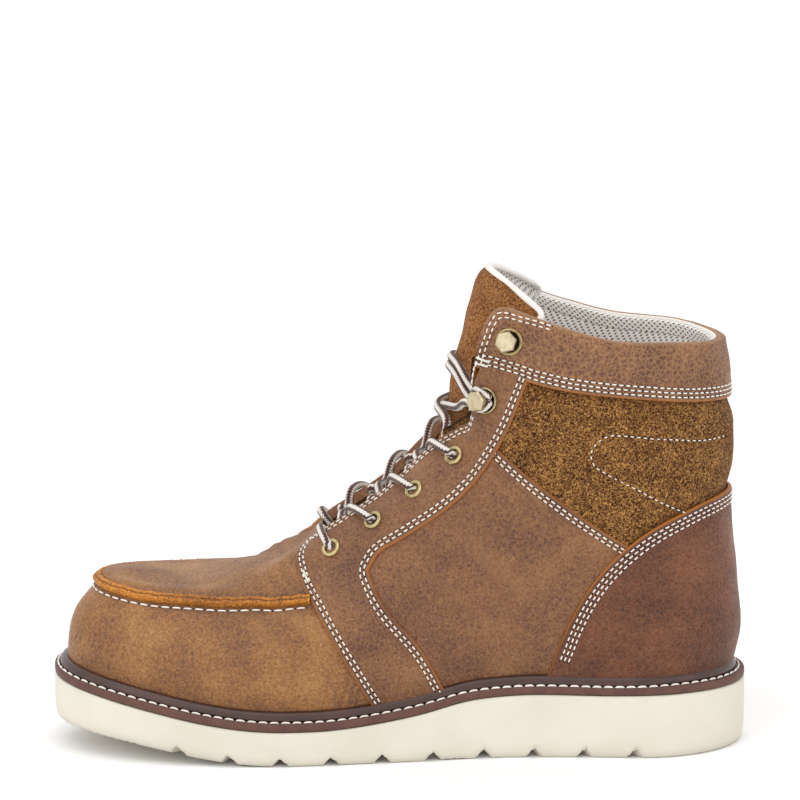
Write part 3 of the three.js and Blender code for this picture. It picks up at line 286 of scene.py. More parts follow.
@dataclass(frozen=True)
class Last:
    """The foot form that sole and leather follow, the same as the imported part's.

    Every method takes whole arrays.
    """

    sole_length: float = 310.0
    sole_at_heel: float = 28.7
    sole_at_ball: float = 15.8
    toe_spring: float = 12.6
    toe_swing: float = 5.0
    welt_thickness: float = 3.8
    toe_ledge: float = 6.0
    heel_ledge: float = 7.4
    gap: float = 0.3
    ridge_end: float = 0.30
    ridge_fade: float = 0.08

    @property
    def toe(self) -> float:
        """Place of the upper's toe along X."""
        return -self.sole_length / 2 + self.toe_ledge

    @property
    def length(self) -> float:
        """Length of the upper."""
        return self.sole_length - self.toe_ledge - self.heel_ledge

    def share_of(self, turn: Array) -> Array:
        """Share of the length at a turn: half of one minus the cosine of the turn's half circle."""
        return (1 - np.cos(math.pi * turn)) / 2

    def turn_of(self, share: Array) -> Array:
        """Turn at a share of the length."""
        return np.arccos(1 - 2 * np.asarray(share, float)) / math.pi

    def along(self, share: float) -> float:
        """Place along X at a share of the upper's length."""
        return self.toe + share * self.length

    def bottom(self, x: Array) -> Array:
        """Height of the sole's underside at a place along X."""
        return self.toe_spring * np.maximum(0, SOLE("spring", x / self.sole_length + 0.5))

    def sole_top(self, x: Array) -> Array:
        """Height of the sole unit's top: its underside plus ball thickness plus the wedge."""
        wedge = SOLE("wedge", x / self.sole_length + 0.5)
        return self.bottom(x) + self.sole_at_ball + (self.sole_at_heel - self.sole_at_ball) * wedge

    def welt_top(self, x: Array) -> Array:
        """Height of the welt's top."""
        return self.sole_top(x) + self.gap + self.welt_thickness

    def feather(self, x: Array) -> Array:
        """Height of the upper's lower edge."""
        return self.welt_top(x) + self.gap

    def over(self, height: float) -> float:
        """Height over the feather line at the rear waist, as side view places are given."""
        return float(self.feather(np.array(self.along(0.75)))) + height

    def swing(self, x: Array) -> Array:
        """Sideways curve of the last: it grows with the square of the way to the toe."""
        ahead = np.maximum(0, 0.45 - (x / self.sole_length + 0.5)) / 0.45
        return -self.toe_swing * ahead * ahead

    def _half(self, name: str, side: Array, share: Array) -> Array:
        """Half-width of a ring: table share of half the ball width, times both rounded ends."""
        _, _, _, reach, power, heel = RINGS[name]
        toe_round = 1 - np.maximum(0, 1 - share / reach) ** power
        heel_round = 1 - np.maximum(0, 1 - (1 - share) / heel) ** 2
        rounds = np.maximum(toe_round, 0) ** (1 / power) * np.sqrt(np.maximum(heel_round, 0))
        full = np.where(side > 0, OUTER_FULLNESS("full", share), 1.0)
        return HALF_WIDTHS(name, share) * BALL / 2 * full * rounds

    def sides(self, u: Array) -> tuple[Array, Array]:
        """Sign of the side and share of the length at a place u round the foot."""
        around = np.mod(u, 2.0)
        side = np.where(around <= 1, -1.0, 1.0)
        return side, self.share_of(np.where(around <= 1, around, 2 - around))

    def u(self, side: Side, turn: Array) -> Array:
        """Place round the foot of a turn on one side."""
        return turn if side is Side.INNER else 2 - turn

    def edge(self, u: Array, inset: float = 0.0) -> tuple[Array, Array]:
        """Outline of the sole seen from above, drawn in by an inset.

        Args:
            u: Places round the foot.
            inset: How far inside the edge.

        Returns:
            X and Y.
        """
        side, share = self.sides(u)
        half = self._half("sole", side, share) * (1 - 2 * inset / BALL)
        x = (share - 0.5) * (self.sole_length - 2 * inset)
        return x, side * half + self.swing(x)

    def point(self, u: Array, v: Array) -> Array:
        """Points of the last's surface.

        Formula: six rings run round the foot, and a cubic with parabolic slopes joins them from the
        feather line to the topline. Over the toes the last slope is level, so both sides meet in a
        smooth ridge.

        Args:
            u: Places round the foot.
            v: Places up the foot.

        Returns:
            Points with X, Y, Z on the last axis.
        """
        u, v = np.broadcast_arrays(np.asarray(u, float), np.asarray(v, float))
        side, share = self.sides(u)
        foot = self.feather(self.toe + self.length * share)
        rise = TOPLINE("rise", share)
        knots = []
        for name in RING_NAMES:
            front, back, lean = RINGS[name][:3]
            ahead = lean * np.sin(math.pi * share * share)
            x = self.toe + self.length * (front + (back - front) * share - ahead)
            z = foot + HEIGHTS(name, share) * rise
            knots.append([x, side * self._half(name, side, share), z])
        full = 1 + (OUTER_FULLNESS("full", share) - 1) * smoothstep(0.7, 0.8, share)
        opened = np.where(share <= self.ridge_end, 0, np.maximum(0, TOPLINE("half", share)))
        heel = np.sqrt(np.maximum(0, 1 - np.maximum(0, 1 - (1 - share) / 0.17) ** 2))
        half = opened * np.where(side > 0, full, 1) * heel
        knots.append([self.toe + self.length * TOPLINE("x", share), side * half, foot + rise])
        rings = np.array(knots)
        slopes = parabolic_slopes(RING_PLACES, rings)
        ridge = 1 - smoothstep(self.ridge_end - self.ridge_fade, self.ridge_end + self.ridge_fade, share)
        slopes[-1, 0] *= 1 - ridge
        slopes[-1, 2] *= 1 - ridge
        i = np.clip(np.searchsorted(RING_PLACES, v, side="left") - 1, 0, len(RING_PLACES) - 2)
        span = RING_PLACES[i + 1] - RING_PLACES[i]
        pick = lambda values, k: np.take_along_axis(values, k[None, None], 0)[0]
        share_up = (v - RING_PLACES[i]) / span
        knots, ways = (pick(rings, i), pick(rings, i + 1)), (pick(slopes, i), pick(slopes, i + 1))
        found = hermite(span, share_up, *knots, *ways)
        found[1] += self.swing(found[0])
        return np.moveaxis(found, 0, -1)

    def normal(self, u: Array, v: Array) -> Array:
        """Outward directions: the step round the foot crossed with the step up the foot."""
        step = 0.004
        run = self.point(u + step, v) - self.point(u - step, v)
        rise = self.point(u, np.minimum(v + step, 1)) - self.point(u, np.maximum(v - step, 0))
        return unit(np.cross(run, rise))

    def surface(self, u: Array, v: Array, height: Array | float = 0.0) -> Array:
        """Points at a height over the last's surface."""
        return self.point(u, v) + self.normal(u, v) * np.asarray(height)[..., None]

    def find(self, side: Side, places: Array | list[tuple[float, float]]) -> Array:
        """Places on the leather that stand at X and Z in the side view.

        Formula: Newton steps on X and Z from the nearest point of a coarse grid, each held small.

        Args:
            side: Side of the foot.
            places: X and Z in millimetres, shape (n, 2).

        Returns:
            Places u and v, shape (n, 2).
        """
        want = np.asarray(places, float)
        rounds, rises = np.linspace(0.01, 0.985, 160), np.linspace(0.01, 0.995, 90)
        turns, heights = np.meshgrid(rounds, rises, indexing="ij")
        start = self.point(self.u(side, turns), heights)[..., [0, 2]].reshape(-1, 2)
        nearest = ((want[:, None] - start) ** 2).sum(-1).argmin(1)
        turn, v = turns.ravel()[nearest], heights.ravel()[nearest]
        step = 0.002
        for _ in range(30):
            here = self.point(self.u(side, turn), v)
            du = (self.point(self.u(side, turn + step), v) - here) / step
            dv = (self.point(self.u(side, turn), v + step) - here) / step
            det = du[:, 0] * dv[:, 2] - dv[:, 0] * du[:, 2]
            miss_x, miss_z = want[:, 0] - here[:, 0], want[:, 1] - here[:, 2]
            det = np.where(np.abs(det) < 1, np.inf, det)
            turn_step = np.clip(0.7 * (miss_x * dv[:, 2] - dv[:, 0] * miss_z) / det, -0.01, 0.01)
            v_step = np.clip(0.7 * (du[:, 0] * miss_z - miss_x * du[:, 2]) / det, -0.01, 0.01)
            turn, v = np.clip(turn + turn_step, 0.01, 0.985), np.clip(v + v_step, 0.0, 0.999)
        return np.stack([self.u(side, turn), v], -1)

    def at_height(self, u: Array, line: Array) -> Array:
        """Places up the foot where the surface meets a line of the side view.

        Formula: the interval of v is halved 22 times on the sign of Z minus the line's height at X.

        Args:
            u: Places round the foot.
            line: The line's points X, Z, with growing X.

        Returns:
            Places v.
        """
        low, high = np.zeros_like(u), np.ones_like(u)
        for _ in range(22):
            middle = (low + high) / 2
            here = self.point(u, middle)
            below = here[..., 2] < np.interp(here[..., 0], line[:, 0], line[:, 1])
            low, high = np.where(below, middle, low), np.where(below, high, middle)
        return (low + high) / 2

    def inset(self, places: Array, distance: float, inward: float) -> Array:
        """A line at a distance beside a line on the surface.

        Formula: in three equal steps every point moves along the normal crossed with the line's
        direction; least squares on the surface's two slopes turn each step into u and v.

        Args:
            places: Places u, v along the line.
            distance: Distance in millimetres.
            inward: 1 or -1, the side to move to.

        Returns:
            Places u, v of the moved line.
        """
        u, v = places.T.copy()
        e = 1e-3
        for _ in range(3):
            here = self.point(u, v)
            way = unit(np.cross(self.normal(u, v), unit(np.gradient(here, axis=0)))) * (inward * distance / 3)
            high = np.minimum(v + e, 1)
            pu = (self.point(u + e, v) - self.point(u - e, v)) / (2 * e)
            pv = (self.point(u, high) - self.point(u, v - e)) / (high - v + e)[:, None]
            a, b, c = (pu * pu).sum(-1), (pu * pv).sum(-1), (pv * pv).sum(-1)
            p, q = (pu * way).sum(-1), (pv * way).sum(-1)
            det = a * c - b * b
            u = u + (p * c - q * b) / det
            v = np.clip(v + (q * a - p * b) / det, 0.0, 1.0)
        return np.stack([u, v], -1)

    def throat_u(self, side: Side, x: float) -> float:
        """Place round the foot where the throat's edge stands at X."""
        share = np.linspace(self.ridge_end, 0.77, 400)
        turn = np.interp((x - self.toe) / self.length, TOPLINE("x", share), self.turn_of(share))
        return float(self.u(side, turn))


LAST = Last()


def grid_quads(rows: int, columns: int) -> Array:
    """Quads of a grid of points, four indices each."""
    i, j = np.meshgrid(np.arange(rows - 1), np.arange(columns - 1), indexing="ij")
    a = i * columns + j
    return np.stack([a, a + columns, a + columns + 1, a + 1], -1).reshape(-1, 4)


@dataclass
class Surface:
    """A grid of points, or a stack of such grids.

    Args:
        points: Shape (..., rows, columns, 3), in millimetres.
        uv: Shape (..., rows, columns, 2), or None.
        marks: Values a point that the finish reads, shape (..., rows, columns).
        finish: Index of its finish on the piece.
        flip: True where rows cross columns inwards.
    """

    points: Array
    uv: Array | None = None
    marks: dict[str, Array] = field(default_factory=dict)
    finish: int = 0
    flip: bool = False

    def quads(self) -> Array:
        """Quads of the whole stack, as indices of its flattened points."""
        rows, columns = self.points.shape[-3:-1]
        count = self.points.size // (rows * columns * 3)
        one = grid_quads(rows, columns)
        one = one[:, ::-1] if self.flip else one
        return (np.arange(count)[:, None, None] * rows * columns + one).reshape(-1, 4)


def make_mesh(name: str, surfaces: list[Surface], smooth: bool = True, weld: float = 0.004) -> bpy.types.Mesh:
    """Joins surfaces into one mesh in metres, with coinciding points welded.

    Formula: points are rounded to the weld size and equal ones are one vertex; a quad that loses a
    corner becomes a triangle, and one that loses two is dropped.

    Args:
        name: Name of the mesh.
        surfaces: Its surfaces.
        smooth: True for smooth shading.
        weld: Weld size in millimetres.

    Returns:
        The mesh.
    """
    points = np.concatenate([s.points.reshape(-1, 3) for s in surfaces])
    starts = np.cumsum([0] + [s.points.size // 3 for s in surfaces])
    quads = np.concatenate([s.quads() + start for s, start in zip(surfaces, starts)])
    finish = np.concatenate([np.full(len(s.quads()), s.finish) for s in surfaces])
    cells = np.round(points / weld).astype(np.int64)
    _, first, back = np.unique(cells, axis=0, return_index=True, return_inverse=True)
    welded = back.reshape(-1)[quads]
    lost = welded == np.roll(welded, -1, axis=1)
    whole, short = lost.sum(1) == 0, lost.sum(1) == 1
    corners = np.concatenate([quads[whole].ravel(), quads[short][~lost[short]]])
    faces = welded[whole].tolist() + welded[short][~lost[short]].reshape(-1, 3).tolist()
    mesh = bpy.data.meshes.new(name)
    mesh.from_pydata((points[first] * MM).tolist(), [], faces)
    mesh.polygons.foreach_set("use_smooth", np.full(len(faces), smooth))
    numbers = np.concatenate([finish[whole], finish[short]])
    mesh.polygons.foreach_set("material_index", numbers.astype(np.int32))
    for key in sorted({key for s in surfaces for key in s.marks}):
        values = np.concatenate([
            np.broadcast_to(s.marks.get(key, 0.0), s.points.shape[:-1]).reshape(-1) for s in surfaces
        ])
        mesh.attributes.new(key, "FLOAT", "POINT").data.foreach_set("value", values[first].astype(np.float32))
    if any(s.uv is not None for s in surfaces):
        uv = np.concatenate([
            s.uv.reshape(-1, 2) if s.uv is not None else np.zeros((s.points.size // 3, 2)) for s in surfaces
        ])
        mesh.uv_layers.new(name="lie").data.foreach_set("uv", uv[corners].astype(np.float32).ravel())
    mesh.update()
    return mesh


def make_piece(
    name: str,
    surfaces: list[Surface],
    finishes: list["Finish"],
    stands_for: tuple[str, ...] = (),
    smooth: bool = True,
) -> bpy.types.Object:
    """Makes a piece of the boot that rides on its body.

    Args:
        name: Name of the piece.
        surfaces: Its surfaces.
        finishes: Finishes that the surfaces' indices name.
        stands_for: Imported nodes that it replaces.
        smooth: True for smooth shading.

    Returns:
        The object.
    """
    mesh = make_mesh(name, surfaces, smooth)
    for finish in finishes:
        mesh.materials.append(finish.material())
    piece = bpy.data.objects.new(name, mesh)
    bpy.context.scene.collection.objects.link(piece)
    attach(piece, "root")
    if stands_for:
        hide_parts(*stands_for)
    log.info("%s: %d faces", name, len(mesh.polygons))
    return piece


def arc_uv(points: Array) -> Array:
    """Millimetres along rows and along columns of a grid, as its UV."""
    run = np.cumsum(np.linalg.norm(np.diff(points, axis=0, prepend=points[:1]), axis=-1), axis=0)
    rise = np.cumsum(np.linalg.norm(np.diff(points, axis=1, prepend=points[:, :1]), axis=-1), axis=1)
    return np.stack([run, rise], -1)


def sweep(path: Array, out: Array, profile: Array) -> Array:
    """A closed profile carried along a path.

    Formula: each profile point stands at its first number times the direction across the path plus
    its second number times the direction out of the ground under it.

    Args:
        path: Path points, shape (n, 3).
        out: Directions away from the ground, shape (n, 3) or (3,).
        profile: Points across and out, shape (m, 2) or (n, m, 2).

    Returns:
        Points of shape (n, m, 3).
    """
    along = unit(np.gradient(path, axis=0))
    across = unit(np.cross(out, along))
    away = np.cross(along, across)
    shape = np.broadcast_to(profile, (len(path), *np.shape(profile)[-2:]))
    return path[:, None] + across[:, None] * shape[..., :1] + away[:, None] * shape[..., 1:]


def round_profile(sides: int, radius: float) -> Array:
    """A circle of profile points that closes on itself, running so that a sweep faces outwards."""
    angle = np.linspace(0, 2 * math.pi, sides + 1)
    return radius * np.stack([np.cos(angle), np.sin(angle)], -1)


def turned(profile: list[tuple[float, float]], sides: int, corners: int = 0) -> Array:
    """A profile of radius and height turned round an axis.

    Formula: each radius is multiplied by one, or for a cornered head by the distance to the side of
    a polygon with that many corners.

    Args:
        profile: Radius and height of each row.
        sides: Points round the axis.
        corners: Corners of the polygon, or 0 for a circle.

    Returns:
        Points of shape (rows, sides + 1, 3) with the axis along Z.
    """
    rows = np.array(profile)
    angle = np.linspace(0, 2 * math.pi, sides + 1)
    reach = np.ones_like(angle)
    if corners:
        half = math.pi / corners
        reach = math.cos(half) / np.cos(np.mod(angle, 2 * half) - half)
    x = rows[:, :1] * reach * np.cos(angle)
    y = rows[:, :1] * reach * np.sin(angle)
    return np.stack([x, y, np.broadcast_to(rows[:, 1:], x.shape)], -1)


def seated(points: Array, seat: Array, normal: Array, roll: float = 0.0) -> Array:
    """Points with their Z axis turned to a seat's normal and their origin on the seat."""
    side_way = unit(np.cross([0.0, 0.0, 1.0], normal))
    up_way = np.cross(normal, side_way)
    a = side_way * math.cos(roll) + up_way * math.sin(roll)
    b = np.cross(normal, a)
    return seat + points[..., :1] * a + points[..., 1:2] * b + points[..., 2:] * normal


def linear(code: str) -> tuple[float, float, float, float]:
    """Linear colour of an sRGB hex code."""
    parts = [int(code[i : i + 2], 16) / 255 for i in (1, 3, 5)]
    return (*[c / 12.92 if c <= 0.04045 else ((c + 0.055) / 1.055) ** 2.4 for c in parts], 1.0)


@dataclass
class Nodes:
    """Nodes of one material, placed in object coordinates in millimetres.

    Args:
        tree: Node tree of the material.
    """

    tree: bpy.types.NodeTree

    def add(self, kind: str, links: dict | None = None, **settings) -> bpy.types.Node:
        """Adds a node with its settings and links.

        Args:
            kind: Type of node.
            links: For each input, a socket or node to link, or a value or hex colour to set.
            settings: Properties of the node.

        Returns:
            The node.
        """
        node = self.tree.nodes.new("ShaderNode" + kind)
        for key, value in settings.items():
            setattr(node, key, value)
        for key, value in (links or {}).items():
            self.link(node, key, value)
        return node

    def link(self, node: bpy.types.Node, key: int | str, value: object) -> None:
        """Links a socket or a node's first output to an input, or sets its value or colour."""
        if isinstance(value, bpy.types.Node):
            value = value.outputs[0]
        if isinstance(value, bpy.types.NodeSocket):
            self.tree.links.new(value, node.inputs[key])
        else:
            node.inputs[key].default_value = linear(value) if isinstance(value, str) else value

    def place(self) -> bpy.types.Node:
        """Object coordinates in millimetres."""
        return self.add("Mapping", {0: self.add("TexCoord").outputs["Object"], 3: (1 / MM,) * 3})

    def noise(self, size: float, detail: float = 2, **values: float) -> bpy.types.Node:
        """Noise with features of a size in millimetres."""
        return self.add("TexNoise", {"Vector": self.place(), "Scale": 1 / size, "Detail": detail, **values})

    def ramp(self, value: bpy.types.Node, *stops: tuple[float, str]) -> bpy.types.Node:
        """Colour ramp with its stops' places and hex colours."""
        node = self.add("ValToRGB", {0: value})
        elements = node.color_ramp.elements
        while len(elements) < len(stops):
            elements.new(0.5)
        for element, (place, colour) in zip(elements, stops):
            element.position, element.color = place, linear(colour)
        return node

    def blend(self, share: object, a: object, b: object) -> bpy.types.NodeSocket:
        """Colour that goes from a to b with the share."""
        return self.add("Mix", {0: share, 6: a, 7: b}, data_type="RGBA").outputs[2]

    def mark(self, name: str) -> bpy.types.NodeSocket:
        """Value that the mesh holds a point."""
        return self.add("Attribute", attribute_name=name).outputs["Fac"]

    def spread(self, value: object, source: tuple[float, float], to: tuple[float, float]) -> bpy.types.Node:
        """Value carried from one range to another."""
        return self.add("MapRange", {0: value, 1: source[0], 2: source[1], 3: to[0], 4: to[1]})

    def math(self, operation: str, *values: object) -> bpy.types.Node:
        """One sum of the math node."""
        return self.add("Math", dict(enumerate(values)), operation=operation)

    def lit(self, colour: object, shade: object) -> bpy.types.Node:
        """Colour times a shade."""
        colour = linear(colour)[:3] if isinstance(colour, str) else colour
        return self.add("VectorMath", {0: colour, 1: shade}, operation="MULTIPLY")

    def lie(self) -> bpy.types.Node:
        """The piece's own UV, along it and across."""
        return self.add("UVMap", uv_map="lie")

    def apart(self, vector: bpy.types.Node) -> list[bpy.types.NodeSocket]:
        """The parts X, Y and Z of a vector."""
        return list(self.add("SeparateXYZ", {0: vector}).outputs)

    def finish(self, colour: object, relief: tuple | None = None, invert: bool = False, **values) -> None:
        """Gives the shader its colour, its relief and its other values.

        Args:
            colour: Socket or node of the colour.
            relief: Height, strength and distance of the bump in metres, or None.
            invert: True where high values lie low.
            values: Values or sockets of the shader's inputs, by their names in lower case.
        """
        shader = self.tree.nodes["Principled BSDF"]
        self.link(shader, "Base Color", colour)
        if relief:
            height, strength, distance = relief
            sockets = {"Strength": strength, "Distance": distance, "Height": height}
            self.link(shader, "Normal", self.add("Bump", sockets, invert=invert))
        for key, value in values.items():
            self.link(shader, key.replace("_", " ").title().replace("Ior", "IOR"), value)


@dataclass(frozen=True)
class Finish:
    """A finish: a name that says what the real material is, and a rule that builds its nodes."""

    name: str

    def material(self) -> bpy.types.Material:
        """The finish's material, built once."""
        made = bpy.data.materials.get(self.name)
        if not made:
            made = bpy.data.materials.new(self.name)
            made.use_nodes = True
            self.build(Nodes(made.node_tree))
        return made

    def build(self, nodes: Nodes) -> None:
        """Builds the nodes of the finish."""
        raise NotImplementedError


@dataclass(frozen=True)
class OiledLeather(Finish):
    """Full grain cow leather, oil and wax tanned: a fine net of golden ridges over violet brown
    hollows, mottled where the oil moves, with a low waxy shine. Its cut edge is paler and orange.

    Args:
        base: Usual colour.
        light: Colour of ridges, where the oil has pulled away.
        dark: Colour of hollows, where the oil has gathered.
        cut: Colour of a cut edge.
        grain: Size of the grain's cells.
        rough: Middle roughness.
        veins: Strength of the pale lines where the hide has been stretched.
    """

    base: str = "#895b2f"
    light: str = "#ae7d48"
    dark: str = "#66412d"
    cut: str = "#c47a22"
    grain: float = 1.1
    rough: float = 0.52
    veins: float = 0.35

    def build(self, nodes: Nodes) -> None:
        """Mottling, grain and pale veins in the colour, with its marks; wrinkles in the bump."""
        net = nodes.noise(self.grain, 3, Roughness=0.6, Distortion=0.7)
        mottle = nodes.noise(26, 4, Roughness=0.55)
        both = nodes.add("Mix", {0: 0.6, 2: mottle, 3: net})
        skin = nodes.ramp(both, (0.40, self.dark), (0.515, self.base), (0.66, self.light))
        links = {0: nodes.noise(2.6).outputs[1], 1: (2.2, 2.2, 2.2), 2: nodes.place()}
        bent = nodes.add("VectorMath", links, operation="MULTIPLY_ADD")
        links = {"Vector": bent, "Scale": 1 / (2.1 * self.grain)}
        vein = nodes.spread(nodes.add("TexVoronoi", links, feature="DISTANCE_TO_EDGE"), (0, 0.13), (self.veins, 0))
        colour = nodes.blend(vein, skin, self.light)
        colour = nodes.blend(nodes.mark("tone"), colour, "#3a1d14")
        colour = nodes.blend(nodes.mark("pull"), colour, self.light)
        raw = nodes.blend(nodes.noise(1 / 2.2, 3), "#8a4a16", self.cut)
        wrinkle = nodes.noise(3.5, 5, Roughness=0.65, Distortion=0.8)
        nodes.finish(
            nodes.blend(nodes.mark("cut"), colour, raw), (nodes.math("MULTIPLY_ADD", wrinkle, 0.8, net), 0.5, 0.0007),
            roughness=nodes.spread(both, (0.35, 0.65), (self.rough + 0.1, self.rough - 0.07)),
            ior=1.48, coat_weight=0.1, coat_roughness=0.35, specular_ior_level=0.4,
        )


@dataclass(frozen=True)
class Suede(Finish):
    """Split leather, sanded to a nap: matt, with curled fibre tufts, bright where they stand and
    nearly black between them.

    Args:
        base: Usual colour.
        light: Colour of fibres that stand.
        dark: Colour between the tufts.
        tuft: Size of a tuft.
    """

    base: str = "#6c4424"
    light: str = "#b5874c"
    dark: str = "#2b180d"
    tuft: float = 0.85

    def build(self, nodes: Nodes) -> None:
        """Patches of nap and tufts of fibre in colour and bump."""
        patch, nap = nodes.noise(9, 5, Roughness=0.6), nodes.noise(self.tuft, Roughness=0.6, Distortion=1.2)
        both = nodes.add("Mix", {0: 0.84, 2: patch, 3: nap})
        colour = nodes.ramp(both, (0.40, self.dark), (0.50, self.base), (0.61, self.light))
        nodes.finish(
            nodes.blend(nodes.mark("tone"), colour, "#301a0c"), (both, 0.8, 0.0009),
            roughness=0.95, sheen_weight=0.05, sheen_roughness=0.5, specular_ior_level=0.12,
        )


@dataclass(frozen=True)
class CreamRubber(Finish):
    """Blown rubber, moulded: matt cream, faintly clouded, with fine pits, darker along the floor edge and under the
    welt.
    """

    def build(self, nodes: Nodes) -> None:
        """Clouds in the colour, pits in the bump, darkening at the floor edge and under the welt by the marks."""
        colour = nodes.ramp(nodes.noise(30, 5), (0.35, "#d9d3c4"), (0.65, "#e0dacc"))
        nodes.finish(
            nodes.blend(nodes.mark("tone"), colour, "#8f8675"), (nodes.noise(0.8, 3), 0.12, 0.0003),
            roughness=0.72, ior=1.5, specular_ior_level=0.35,
        )


@dataclass(frozen=True)
class RibbedWelt(Finish):
    """Pressed welt strip: leather board with fine cross ribs on its side, dull purple brown."""

    pitch: float = 1.5

    def build(self, nodes: Nodes) -> None:
        """Ribs from the strip's own length, painted shade between them."""
        along = nodes.apart(nodes.lie())[0]
        wave = nodes.math("SINE", nodes.math("MULTIPLY", along, 2 * math.pi / self.pitch))
        colour = nodes.ramp(nodes.noise(7, 5), (0.35, "#5a3a32"), (0.65, "#664439"))
        # The rib wave also scales the colour: painted shade in the grooves between the ribs
        ribs = nodes.spread(wave, (-1, 1), (0.93, 1.03))
        nodes.finish(nodes.lit(colour, ribs), (wave, 0.2, 0.0003), roughness=0.55, specular_ior_level=0.4)


@dataclass(frozen=True)
class PolishedEdge(Finish):
    """Waxed dark leather cord of the storm bead: nearly black brown, with a clear gloss."""

    def build(self, nodes: Nodes) -> None:
        """Slight clouds in colour and bump."""
        cloud = nodes.noise(9, 4)
        colour = nodes.ramp(cloud, (0.35, "#341b13"), (0.65, "#452519"))
        nodes.finish(colour, (cloud, 0.1, 0.0004), roughness=0.42, coat_weight=0.3, coat_roughness=0.2)


@dataclass(frozen=True)
class SpacerMesh(Finish):
    """Knitted spacer mesh of the padded lining: off-white, with rows of small dark diamond holes.

    Args:
        pitch: Spacing of the holes.
    """

    pitch: float = 1.8

    def build(self, nodes: Nodes) -> None:
        """Holes where the sum of two cosines along the cloth's diagonals is high."""
        turn = 2 * math.pi / self.pitch
        slanted = nodes.add("Mapping", {0: nodes.lie(), 2: (0, 0, math.pi / 4), 3: (turn, turn, turn)})
        lattice = nodes.math("ADD", *(nodes.math("COSINE", part) for part in nodes.apart(slanted)[:2]))
        hole = nodes.spread(lattice, (0.3, 1.6), (0, 1))
        colour = nodes.blend(hole, "#efe9e3", "#75665d")
        nodes.finish(colour, (hole, 0.7, 0.0006), invert=True, roughness=0.85, sheen_weight=0.2)


@dataclass(frozen=True)
class PlainCloth(Finish):
    """Woven or smooth lining cloth and webbing in one colour, with a fine thread.

    Args:
        colour: Its colour.
        thread: Spacing of the threads.
    """

    colour: str = "#efecea"
    thread: float = 0.6

    def build(self, nodes: Nodes) -> None:
        """Fine threads in the bump and faint dirt in the colour."""
        colour = nodes.lit(self.colour, nodes.spread(nodes.noise(12, 5), (0.3, 0.7), (0.9, 1.02)))
        threads = nodes.add("TexVoronoi", {"Vector": nodes.place(), "Scale": 1 / self.thread})
        relief = (threads.outputs["Distance"], 0.25, 0.0003)
        nodes.finish(colour, relief, roughness=0.8, sheen_weight=0.15)


@dataclass(frozen=True)
class BraidedLace(Finish):
    """Round braided polyester lace: lengthwise bands of white and brown yarn over a core.

    Its UV runs along the lace in millimetres and round it as a share.

    Args:
        stitch: Length of one yarn's crossing.
        bands: Bands of each colour round the lace.
    """

    stitch: float = 1.25
    bands: int = 3

    def build(self, nodes: Nodes) -> None:
        """Bands by the share round the lace, hatched by a slanted wave along it, with painted shade between the yarns.
        """
        along, around, _ = nodes.apart(nodes.lie())
        band = nodes.math("SINE", nodes.math("MULTIPLY", around, 2 * math.pi * self.bands))
        fold = nodes.math("PINGPONG", around, 1 / (4 * self.bands))
        run = nodes.math("MULTIPLY", along, 2 * math.pi / self.stitch)
        yarn = nodes.math("SINE", nodes.math("MULTIPLY_ADD", fold, 4 * math.pi * self.bands, run))
        share = nodes.spread(nodes.math("MULTIPLY_ADD", yarn, 0.45, band), (-0.2, 0.15), (0, 1))
        # The yarn wave also scales the colour: painted shade where the braid dips between yarns
        colour = nodes.lit(nodes.blend(share, "#e9e2d9", "#4f2c22"), nodes.spread(yarn, (-1, 1), (0.86, 1.05)))
        nodes.finish(colour, (yarn, 0.5, 0.0004), roughness=0.78, sheen_weight=0.2)


@dataclass(frozen=True)
class Thread(Finish):
    """Twisted bonded nylon thread, white, with a slight gloss."""

    colour: str = "#f4efe6"

    def build(self, nodes: Nodes) -> None:
        """A little dirt in the colour."""
        shade = nodes.spread(nodes.noise(4, 4), (0.3, 0.7), (0.85, 1.03))
        nodes.finish(nodes.lit(self.colour, shade), roughness=0.6)


@dataclass(frozen=True)
class NeedleHole(Finish):
    """Punched hole in the leather, dark with shadow and old wax."""

    def build(self, nodes: Nodes) -> None:
        """Dark brown, slightly clouded."""
        nodes.finish(nodes.ramp(nodes.noise(3), (0.4, "#080403"), (0.6, "#140a06")), roughness=0.9)


@dataclass(frozen=True)
class WornMetal(Finish):
    """Plated brass, tumbled and lacquered: warm, softly scratched, darker in its hollows.

    Args:
        bright: Colour of the worn faces.
        dull: Colour of the hollows.
        rough: Middle roughness.
    """

    bright: str = "#cbbb98"
    dull: str = "#7d6b48"
    rough: float = 0.36

    def build(self, nodes: Nodes) -> None:
        """Scratches in roughness and bump, dullness in the colour."""
        wear = nodes.noise(2.2, 5)
        colour = nodes.ramp(wear, (0.25, self.dull), (0.50, self.bright))
        rough = nodes.spread(wear, (0.3, 0.7), (self.rough + 0.12, self.rough - 0.06))
        nodes.finish(colour, (wear, 0.08, 0.0002), roughness=rough, metallic=1.0)


VAMP_LEATHER = OiledLeather("oiled_leather_vamp")
QUARTER_LEATHER = OiledLeather("oiled_leather_quarter", "#794e2d", "#986d45", "#56342a", "#c4782a")
